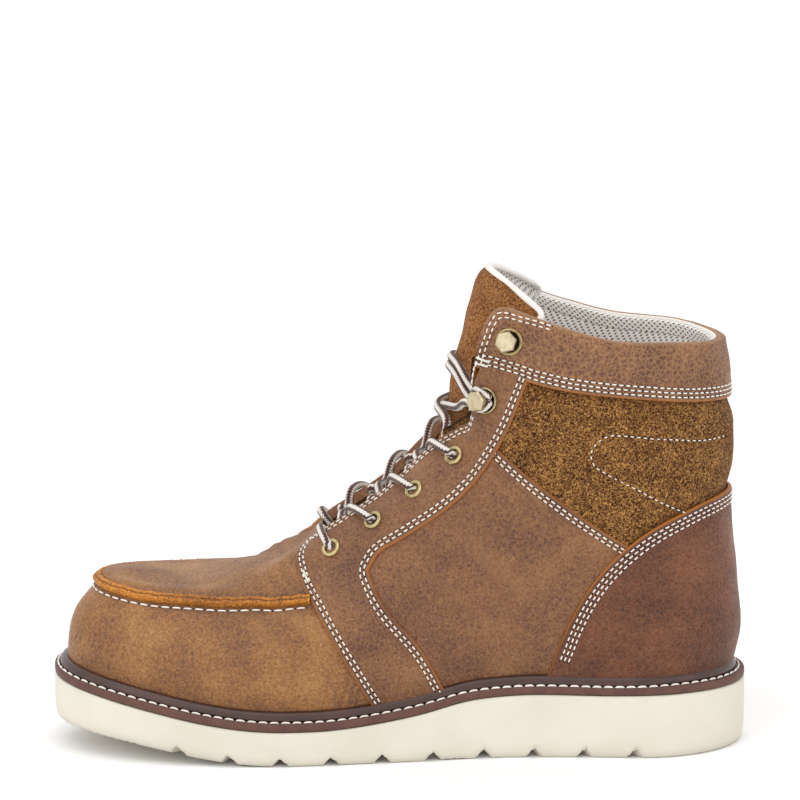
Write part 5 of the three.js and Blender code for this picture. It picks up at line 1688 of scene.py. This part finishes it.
    def _moc_seam(self) -> None:
        """Raised double edge between vamp and plug, with the long stitches under it.

        Formula: the seam stays at its place up the foot and bends to its end line near the wing; it
        stops where it meets the wing's front. Slow waves make both edges uneven.
        """
        turns = np.linspace(0.3, 0.5, 400)
        front = side_line(WING_FRONT)[::-1]
        met = LAST.point(turns, np.full_like(turns, self.seam_place))
        end = float(turns[np.argmax(met[:, 0] > np.interp(met[:, 2], front[:, 1], front[:, 0]) + 0.6)])
        u = np.linspace(-end, end, 700)
        place = np.full_like(u, self.seam_place)
        level = LAST.at_height(np.abs(u), side_line(SEAM_END))
        place = place + (level - place) * smoothstep(-84, -74, LAST.point(u, place)[:, 0])
        ground, out = LAST.point(u, place), LAST.normal(u, place)
        rough = 0.18 * ripple(ground, 2.6, 3) + 0.12 * ripple(ground, 1.3, 5)
        profile = np.array([
            (-1.9, -0.6), (-2.0, 1.2), (-1.85, 2.2), (-1.3, 2.75), (-0.6, 2.9), (-0.15, 2.7), (0.0, 2.35), (0.15, 2.75),
            (0.6, 3.15), (1.3, 3.05), (1.75, 2.6), (1.95, 1.8), (2.0, -0.6),
        ])
        shape = np.broadcast_to(profile, (len(u), *profile.shape)).copy()
        lifted = np.clip(profile[:, 1] / 2, 0, 1)
        shape[..., 1] += rough[:, None] * lifted
        shape[..., 0] += 0.25 * ripple(ground, 5.5, 1)[:, None] * lifted
        points = sweep(ground, out, shape * [-1.12, 1])
        # tone: painted shade in the groove between the two edges and low on their walls
        tone = 0.55 * np.exp(-((profile[:, 0] / 0.3) ** 2)) + 0.35 * (profile[:, 1] < 1.3)
        edges = Surface(points, marks={"tone": np.broadcast_to(tone, points.shape[:2])})
        make_piece("moc_seam_edges", [edges], [SEAM_EDGE], ("moc_seam",))
        seam = np.stack([u, place], -1)
        below = min((LAST.inset(seam, 3.7, way) for way in (1.0, -1.0)), key=lambda line: line[350, 1])
        row = StitchRow(pitch=5.05, length=4.1, thread=0.4, lift=0.15).on_last(below[4:-4], 0.0)
        make_stitches("moc_stitches", [row])

    def _counter(self) -> None:
        """Outside counter round the heel, triple stitched."""
        edge = side_line(COUNTER_EDGE)
        start = float(LAST.turn_of(0.712))
        u = np.linspace(start, 2 - start, 420)
        high = LAST.at_height(u, edge)
        panel = Panel(
            np.stack([u, np.zeros_like(u)], -1), np.stack([u, np.maximum(high, 0.012)], -1), 0.0, self.overlay,
            rows=260, columns=60, exposed=(False, True, False, False),
        )
        make_piece("counter_leather", [panel.surface(burnish=0.35)], [COUNTER_LEATHER], ("heel_counter",))
        rows = [StitchRow().on_last(panel.row(d, True, (0.012, 0.988), 900), self.overlay) for d in (2.0, 3.9, 5.8)]
        make_stitches("counter_stitches", rows)

    def _collar_curves(self) -> tuple[Array, Array]:
        """Lower edge and topline of the collar, from the inner throat round the heel to the outer."""
        cuff = side_line(CUFF_EDGE)
        start = float(LAST.turn_of(0.700))
        corner = float(LAST.turn_of(0.768))
        low = np.concatenate([np.linspace(start, start + 0.012, 40), np.linspace(start + 0.012, 1, 160)[1:]])
        high = np.concatenate([np.linspace(start, corner, 40), np.linspace(corner, 1, 160)[1:]])
        low = np.concatenate([low, 2 - low[-2::-1]])
        high = np.concatenate([high, 2 - high[-2::-1]])
        v = np.minimum(LAST.at_height(low, cuff), 0.995)
        return np.stack([low, v], -1), np.stack([high, np.full_like(high, 0.996)], -1)

    def _collar(self) -> None:
        """Padded cuff: leather up over the rim, a fold of tape there, and mesh inside; with its rows."""
        a, b = self._collar_curves()
        def pad(points: Array, rim: Array) -> Array:
            """Padding that swells away from the seams."""
            return 1.3 * smoothstep(1.0, 12, rim) + 0.2 * ripple(points, 19, 4) * smoothstep(2, 10, rim)
        panel = Panel(a, b, -0.4, self.overlay, rows=340, columns=44, exposed=(True, False, False, False), swell=pad)
        face = panel.surface(burnish=0.3)
        last_row = face.points[:, -1]
        t = np.linspace(0, 1, len(last_row))
        top = read_rows(t, np.linspace(0, 1, len(b)), b)
        ground, out = LAST.point(top[:, 0], top[:, 1]), LAST.normal(top[:, 0], top[:, 1])
        up = unit(LAST.point(top[:, 0], top[:, 1]) - LAST.point(top[:, 0], top[:, 1] - 0.02))
        outer = ((last_row - ground) * out).sum(-1)
        inner = -self.wall - 1.4
        angle = np.linspace(0, math.pi, 12)
        middle, radius = (outer + inner) / 2, (outer - inner) / 2
        roll = ground[:, None] + out[:, None] * (middle[:, None] + radius[:, None] * np.cos(angle))[..., None]
        roll = roll + up[:, None] * (0.42 * radius[:, None] * np.sin(angle))[..., None]
        tail = roll[:, -1:] - up[:, None] * np.array([2.0, 5.0])[:, None]
        rim = np.concatenate([roll, tail], 1)
        outside, fold, inside = rim[:, :7], rim[:, 6:8], rim[:, 7:]
        marks = {key: np.zeros(outside.shape[:2]) for key in ("tone", "pull", "cut")}
        worn = 0.35 * np.sin(np.linspace(0, math.pi / 2, outside.shape[1]))
        marks["pull"] = np.broadcast_to(worn, outside.shape[:2])
        cuff = make_piece("collar_cuff", [
            face, Surface(outside, marks=marks), Surface(fold, finish=1), Surface(inside, uv=arc_uv(inside), finish=2),
        ], [COLLAR_LEATHER, BINDING, MESH], ("collar",))
        rows = []
        for d in (2.0, 3.9, 5.8):
            places = panel.row(d, False, (0.012, 0.988), 900)
            points = LAST.point(places[:, 0], places[:, 1])
            rows.append(StitchRow().on_last(places, self.overlay + 0.05 + pad(points, np.full(len(points), d))))
        for side in Side:
            for path in (self.cuff_front, self.cuff_front_inner):
                places = LAST.find(side, smooth_path(path, 120))
                points = LAST.point(places[:, 0], places[:, 1])
                rows.append(StitchRow().on_last(places, self.overlay + 0.1 + pad(points, np.full(len(points), 9.0))))
        make_stitches("collar_stitches", rows)

    def _collar_lining(self) -> None:
        """Padded mesh inside the collar, from the rim down the shaft."""
        start = float(LAST.turn_of(0.735))
        u, v = np.meshgrid(np.linspace(start, 2 - start, 260), np.linspace(0.62, 0.985, 60), indexing="ij")
        ground, out = LAST.point(u, v), LAST.normal(u, v)
        share = (v - 0.62) / 0.365
        depth = self.wall + 0.4 + 2.6 * np.sin(math.pi * share) ** 0.7
        points = ground - out * depth[..., None]
        make_piece("collar_mesh", [Surface(points, uv=arc_uv(points), flip=True)], [MESH])


@dataclass
class Tongue:
    """Padded tongue: suede outside, spacer mesh inside and a bound rim."""

    thickness: float = 6.0
    wrap: float = 27.0
    bow: float = 1.75
    droop: float = 2.1
    rows: Table = Table("at x z half back down", (
        (0.00, 0.347, 0.49 * INSTEP, 0.75, 0.07, 0.40),
        (0.09, 0.383, 0.585 * INSTEP, 0.84, 0.18, 0.55),
        (0.23, 0.438, 0.730 * INSTEP, 0.90, 0.33, 0.60),
        (0.37, 0.504, 0.893 * INSTEP, 0.93, 0.44, 0.63),
        (0.49, 0.553, 1.045 * INSTEP, 0.96, 0.63, 0.60),
        (0.59, 0.573, 0.775 * SHAFT, 1.00, 0.81, 0.44),
        (0.69, 0.580, 0.893 * SHAFT, 1.01, 0.93, 0.33),
        (0.80, 0.594, 1.007 * SHAFT, 1.00, 1.00, 0.33),
        (0.90, 0.608, 1.113 * SHAFT, 0.985, 1.00, 0.41),
        (0.97, 0.621, 1.200 * SHAFT, 0.97, 0.96, 0.55),
        (1.00, 0.631, 1.220 * SHAFT, 0.95, 0.93, 0.60),
    ))

    def point(self, up: Array, across: Array) -> Array:
        """Outside of the tongue: its centre line, with the edges wrapped back and down by powers."""
        up, across = np.broadcast_arrays(np.asarray(up, float), np.asarray(across, float))
        x = LAST.along(0) + LAST.length * self.rows("x", up)
        x = x + self.rows("back", up) * self.wrap * np.abs(across) ** self.bow
        z = LAST.over(0) + self.rows("z", up) - self.rows("down", up) * self.wrap * np.abs(across) ** self.droop
        return np.stack([x, across * self.rows("half", up) * THROAT, z], -1)

    def normal(self, up: Array, across: Array) -> Array:
        """Directions away from the foot."""
        step = 0.01
        run = self.point(up, across + step) - self.point(up, across - step)
        rise = self.point(np.minimum(up + step, 1), across) - self.point(np.maximum(up - step, 0), across)
        return unit(np.cross(rise, run))

    def over(self, up: Array | float, across: Array | float, height: float) -> Array:
        """Points at a height over the tongue."""
        return self.point(up, across) + self.normal(up, across) * height

    def up_at(self, x: float) -> float:
        """Share up the tongue where its centre line stands at X."""
        up = np.linspace(0, 1, 400)
        return float(np.interp(x, self.point(up, 0.0 * up)[:, 0], up))

    def build(self) -> None:
        """Builds suede, mesh and binding."""
        up, across = np.meshgrid(np.linspace(0, 1, 130), np.linspace(-1, 1, 73), indexing="ij")
        ground, out = self.point(up, across), self.normal(up, across)
        rim = np.minimum((1 - np.abs(across)) * 30, (1 - up) * 120)
        puff = 0.5 * smoothstep(0, 9, rim) + 0.35 * ripple(ground, 22, 6) - 0.5 * np.exp(-rim / 1.2)
        tone = 0.35 * np.exp(-rim / 3)
        face = Surface(ground + out * (puff - 0.3)[..., None], marks={"tone": tone}, flip=True)
        suede = make_piece("tongue_suede_face", [face], [TONGUE_SUEDE], ("tongue",))
        filled = 0.55 + 0.45 * smoothstep(0, 12, (1 - up) * 120)
        thick = self.thickness * (1 - 0.5 * np.abs(across) ** 4) * filled
        back = ground - out * thick[..., None]
        make_piece("tongue_mesh_back", [Surface(back, uv=arc_uv(back))], [MESH])
        self._binding(ground, out, thick)

    def _binding(self, ground: Array, out: Array, thick: Array) -> None:
        """White tape folded round the rim: up one edge, over the top and down the other."""
        loop = lambda grid: np.concatenate([grid[60:, 0], grid[-1, 1:-1], grid[60:, -1][::-1]])
        face, away, depth = loop(ground), loop(out), loop(thick[..., None])[:, 0]
        middle = face - away * (depth / 2)[:, None]
        middle, away = averaged(middle, 7), unit(averaged(away, 7))
        angle = np.linspace(0, 2 * math.pi, 17)
        shape = np.stack([
            1.5 * np.cos(angle) * np.ones_like(depth)[:, None],
            (depth / 2 + 0.25)[:, None] * np.sign(np.sin(angle)) * np.abs(np.sin(angle)) ** 0.8,
        ], -1)
        points = sweep(middle, away, shape)
        make_piece("tongue_binding", [Surface(points)], [BINDING])


@dataclass
class Fittings:
    """Eyelets and speed hooks, seated on the leather.

    Args:
        hole: Radius of an eyelet's hole.
        rim: Radius of an eyelet's flange.
        washer: Radius of a washer.
        corners: Width of a stud's head over its corners.
        post: Radius of a stud's post.
        height: Height of a stud.
        lean: How far a stud leans to the toe, as a slope.
        eyelets: Share of the length and height of each eyelet.
        hooks: Share of the length, height and height of the leather under each hook.
    """

    hole: float = 2.5
    rim: float = 4.4
    washer: float = 6.0
    corners: float = 9.8
    post: float = 2.1
    height: float = 8.0
    lean: float = 0.14
    eyelets: tuple[tuple[float, float], ...] = (
        (0.4015, 0.618 * INSTEP), (0.465, 0.753 * INSTEP), (0.5265, 0.905 * INSTEP), (0.5855, 1.067 * INSTEP),
    )
    hooks: tuple[tuple[float, float, float], ...] = ((0.632, 0.857 * SHAFT, 1.8), (0.665, 1.031 * SHAFT, 2.7))

    def seat(self, side: Side, share: float, height: float, rests: float) -> tuple[Array, Array]:
        """Seat point and normal of a fitting at a place of the side view."""
        u, v = LAST.find(side, [(LAST.along(share), LAST.over(height))])[0]
        return LAST.surface(u, v, rests), LAST.normal(u, v)

    def build(self) -> None:
        """Builds eyelets, washers and studs on both sides."""
        for side in Side:
            name = side.name.lower()
            for number, (share, height) in enumerate(self.eyelets, 1):
                self._eyelet(f"{name}_{number}", *self.seat(side, share, height, 1.9))
            for number, (share, height, rests) in enumerate(self.hooks, 1):
                seat, normal = self.seat(side, share, height, rests + 0.2)
                self._washer(f"{name}_{number}", seat, normal)
                self._stud(f"{name}_{number}", seat, unit(normal + [-self.lean, 0, 0]))

    def _eyelet(self, tag: str, seat: Array, normal: Array) -> None:
        """Rolled ring: from the barrel inside up over the flange to its foot."""
        flange = self.rim - self.hole
        angle = np.linspace(math.pi, 0, 12)
        roll = [(self.hole + flange * (1 + math.cos(a)) / 2, 0.95 * math.sin(a) ** 0.5) for a in angle]
        profile = [(self.hole - 0.05, -5.0), (self.hole, -0.35), *roll, (self.rim, -0.5)]
        rings = Surface(seated(turned(profile, 48), seat, normal), flip=True)
        # A dark disc closes the hole: painted shade inside the eyelet's barrel
        dark = Surface(seated(turned([(self.hole + 0.02, -0.3), (0.0, -0.3)], 24), seat, normal), finish=1, flip=True)
        make_piece(f"eyelet_ring_{tag}", [rings, dark], [BRASS, HOLE], (f"eyelet_{tag}",))

    def _washer(self, tag: str, seat: Array, normal: Array) -> None:
        """Dished dark washer with a worn rim."""
        r = self.washer
        plate = Surface(seated(turned([(0.0, 0.55), (0.55 * r, 0.5), (0.8 * r, 0.62)], 48), seat, normal), flip=True)
        rim = [(0.8 * r, 0.62), (0.86 * r, 1.0), (0.92 * r, 1.12), (0.99 * r, 0.8), (r, 0.3), (r, -0.5)]
        edge = Surface(seated(turned(rim, 48), seat, normal), finish=1, flip=True)
        make_piece(f"washer_{tag}", [plate, edge], [WASHER, BRASS], (f"hook_washer_{tag}",))

    def _stud(self, tag: str, seat: Array, normal: Array) -> None:
        """Six-cornered head with bevelled edges on a waisted post."""
        r, top = self.corners / 2, self.height
        post = [
            (self.post + 0.4, 0.3), (self.post, 1.2), (self.post, 3.2), (self.post + 0.5, top - 2.8),
        ]
        stem = Surface(seated(turned(post, 32), seat, normal), flip=True)
        head = [
            (self.post, top - 2.8), (0.9 * r, top - 2.8), (r, top - 2.45), (r, top - 0.75), (0.93 * r, top - 0.25),
            (0.84 * r, top), (0.0, top),
        ]
        block = Surface(seated(turned(head, 48, 6), seat, normal, 0.26), flip=True)
        make_piece(f"stud_{tag}", [stem, block], [STUD], (f"hook_stud_{tag}",), smooth=False)


@dataclass
class Laces:
    """Round lace through the eyelets and round the lower hooks."""

    tongue: Tongue
    fittings: Fittings
    radius: float = 1.85

    def build(self) -> None:
        """Builds every run of lace."""
        self._bar()
        crossings = ((1, 0.435, 0.411), (2, 0.500, 0.456), (3, 0.560, 0.512))
        for number, (row, edge, dive) in enumerate(crossings, 1):
            runs = [self._crossing(side, row, edge, dive) for side in Side]
            self._make(f"lace_run_{number}", runs, (f"lace_crossing_{number}",))
        self._make("lace_hook_runs", [self._hook_run(side) for side in Side], ("lace_hook_crossing",))
        pair = [self._top_run(0.700, (-0.2, 1.0), 0.0), self._top_run(0.675, (-1.0, 0.5), 0.1)]
        self._make("lace_top_runs", pair, ("lace_hook_pair",))

    def _make(self, name: str, runs: list[Array], stands_for: tuple[str, ...]) -> None:
        """Makes tubes along control points, smoothed three times, with the braid's UV."""
        surfaces = []
        for run in runs:
            path = smooth_path(run, 90)
            for _ in range(3):
                path[1:-1] = (path[:-2] + 2 * path[1:-1] + path[2:]) / 4
                path[2:-2] = (path[:-4] + path[1:-3] + path[2:-2] + path[3:-1] + path[4:]) / 5
            ways = unit(np.gradient(path, axis=0))
            out = np.empty_like(path)
            out[:] = unit(np.array([-0.75, 0.05, 0.66]))
            sides = 18
            points = sweep(path, out, round_profile(sides, self.radius))
            tips = (path[0] - ways[0] * 0.5, path[-1] + ways[-1] * 0.5)
            caps = [np.repeat(tip[None, None], sides + 1, 1) for tip in tips]
            points = np.concatenate([caps[0], points, caps[1]])
            arc = arc_of(path)
            arc = np.concatenate([[0], arc, arc[-1:]])
            uv = np.stack(np.meshgrid(arc, np.linspace(0, 1, sides + 1), indexing="ij"), -1)
            surfaces.append(Surface(points, uv=uv, flip=True))
        make_piece(name, surfaces, [LACE], stands_for)

    def _from_eyelet(self, side: Side, row: int, edge: float) -> list[Array]:
        """Out of an eyelet, over the leather and up to the throat's edge."""
        share, height = self.fittings.eyelets[row]
        seat, normal = self.fittings.seat(side, share, height, 1.9)
        u = LAST.throat_u(side, LAST.along(edge))
        over = LAST.surface(u, 0.985, 1.8 + self.radius + 0.5)
        way = over - seat
        return [
            seat - normal * 4.5, seat - normal * 1.0 + way * 0.02, seat + normal * 2.4 + way * 0.16,
            seat + normal * 3.2 + way * 0.42, over * 0.35 + (seat + way * 0.7) * 0.65 + normal * 1.2, over,
        ]

    def _under_edge(self, side: Side, dive: float) -> list[Array]:
        """Over the tongue's edge and down under the leather."""
        u = LAST.throat_u(side, LAST.along(dive))
        sign = side.value
        edge = LAST.surface(u, 1.0, 0.0)
        return [edge + [0.5, -sign * 3.4, 1.2], edge + [1.5, sign * 1.5, -4.2]]

    def _crossing(self, side: Side, row: int, edge: float, dive: float) -> Array:
        """From one side's eyelet across the tongue and under the other side's leather."""
        other = Side.OUTER if side is Side.INNER else Side.INNER
        sign = side.value
        start = self._from_eyelet(side, row, edge)
        up = self.tongue.up_at((LAST.along(edge) + LAST.along(dive)) / 2)
        rise = 1.6 if side is Side.INNER else 4.2
        across = [
            self.tongue.over(up + 0.012, sign * 0.32, 0.6 * rise + 1.6), self.tongue.over(up, 0.0, rise),
            self.tongue.over(up - 0.012, -sign * 0.30, 0.5 * rise + 1.3),
        ]
        return np.array(start + across + self._under_edge(other, dive))

    def _bar(self) -> None:
        """Bottom bar between the lowest eyelets, bowed up the throat."""
        start = self._from_eyelet(Side.INNER, 0, 0.391)
        end = self._from_eyelet(Side.OUTER, 0, 0.391)[::-1]
        up = self.tongue.up_at(LAST.along(0.402))
        middle = [self.tongue.over(up, a, 2.3) for a in (-0.35, 0.0, 0.35)]
        self._make("lace_bottom_bar", [np.array(start + middle + end)], ("lace_bar",))

    def _beside_hook(self, side: Side, way: tuple[float, float], reach: float = 0.3) -> Array:
        """A point beside the lower hook's post."""
        share, height, rests = self.fittings.hooks[0]
        seat, normal = self.fittings.seat(side, share, height, rests + 0.2)
        flat = np.array([way[0], 0.0, way[1]])
        flat = unit(flat - normal * (flat @ normal))
        return seat + normal * (0.8 + self.radius + 0.4) + flat * (self.fittings.post + self.radius + reach)

    def _hook_run(self, side: Side) -> Array:
        """From under one throat edge round the tongue's front to the other side's lower hook."""
        other = Side.OUTER if side is Side.INNER else Side.INNER
        sign = side.value
        u = LAST.throat_u(side, LAST.along(0.568))
        edge = LAST.surface(u, 1.0, 0.0)
        rise = 2.0 if side is Side.OUTER else 4.6
        return np.array([
            edge + [1.5, sign * 1.5, -4.0], edge + [0.3, -sign * 3.2, 1.0],
            self.tongue.over(0.57, sign * 0.40, rise * 0.5 + 1.6), self.tongue.over(0.605, 0.0, rise + 0.4),
            self.tongue.over(0.63, -sign * 0.45, 2.8), self._beside_hook(other, (-1.0, -0.25), 1.2),
            self._beside_hook(other, (0.1, -1.0)), self._beside_hook(other, (1.0, 0.0)),
        ])

    def _top_run(self, up: float, way: tuple[float, float], lift: float) -> Array:
        """From one lower hook round the tongue's front to the other."""
        ends = [self._beside_hook(side, way) for side in Side]
        rests = [self.tongue.over(up + rise, a, 2.1 + lift) for rise, a in (
            (-0.012, -0.62), (0.028, -0.32), (0.036, 0.0), (0.028, 0.32), (-0.012, 0.62),
        )]
        behind = [self._beside_hook(side, (1.0, 0.3)) for side in Side]
        return np.array([behind[0], ends[0], *rests, ends[1], behind[1]])


@dataclass
class Studio:
    """Pale floor, soft lights and the camera at the photograph's angle."""

    distance: float = 2.8
    pitch: float = 12.2
    view_width: float = 0.357
    target: tuple[float, float, float] = (0.0, 0.0, 0.1546)

    def build(self) -> None:
        """Builds camera, lights, world and floor."""
        self._camera()
        self._lights()
        self._floor()

    def _camera(self) -> None:
        """Long lens that looks along +Y and a little down."""
        data = bpy.data.cameras.new("camera")
        data.sensor_width = 36
        data.lens = 36 * self.distance / self.view_width
        camera = bpy.data.objects.new("camera", data)
        tilt = math.radians(self.pitch)
        x, y, z = self.target
        camera.location = (x, y - self.distance * math.cos(tilt), z + self.distance * math.sin(tilt))
        camera.rotation_euler = (math.pi / 2 - tilt, 0, 0)
        data.clip_end = 50
        bpy.context.scene.collection.objects.link(camera)
        bpy.context.scene.camera = camera

    def _lights(self) -> None:
        """Three large soft boxes and a white surround."""
        boxes = (
            ("top_box", (-0.3, -0.5, 1.7), 1.6, 7),
            ("front_box", (-1.3, -1.7, 1.1), 1.4, 6),
            ("back_box", (1.4, -1.2, 0.9), 1.2, 3),
        )
        for name, place, size, power in boxes:
            data = bpy.data.lights.new(name, "AREA")
            data.shape, data.size, data.energy = "SQUARE", size, power
            box = bpy.data.objects.new(name, data)
            box.location = place
            box.rotation_euler = (Vector((0, 0, 0.08)) - Vector(place)).to_track_quat("-Z", "Y").to_euler()
            bpy.context.scene.collection.objects.link(box)
        world = bpy.data.worlds.new("surround")
        world.use_nodes = True
        world.node_tree.nodes["Background"].inputs[0].default_value = (1, 1, 1, 1)
        world.node_tree.nodes["Background"].inputs[1].default_value = 1.0
        bpy.context.scene.world = world
        bpy.context.scene.view_settings.view_transform = "Standard"

    def _floor(self) -> None:
        """Matt white floor, far larger than the view."""
        mesh = bpy.data.meshes.new("floor")
        mesh.from_pydata([(-9, -6, 0), (9, -6, 0), (9, 14, 0), (-9, 14, 0)], [], [(0, 1, 2, 3)])
        paper = bpy.data.materials.new("studio_paper")
        paper.use_nodes = True
        shader = paper.node_tree.nodes["Principled BSDF"]
        shader.inputs["Base Color"].default_value = (0.98, 0.98, 0.98, 1)
        shader.inputs["Roughness"].default_value = 0.9
        shader.inputs["Specular IOR Level"].default_value = 0.0
        mesh.materials.append(paper)
        floor = bpy.data.objects.new("floor", mesh)
        bpy.context.scene.collection.objects.link(floor)


def main() -> None:
    """Builds the boot piece by piece."""
    logging.basicConfig(level=logging.INFO, format="%(message)s")
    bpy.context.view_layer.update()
    Studio().build()
    SoleUnit().build()
    Upper().build()
    tongue, fittings = Tongue(), Fittings()
    tongue.build()
    fittings.build()
    Laces(tongue, fittings).build()
    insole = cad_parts["insole"]
    insole.data.materials.clear()
    insole.data.materials.append(FOOTBED.material())


if __name__ == "__main__":
    main()
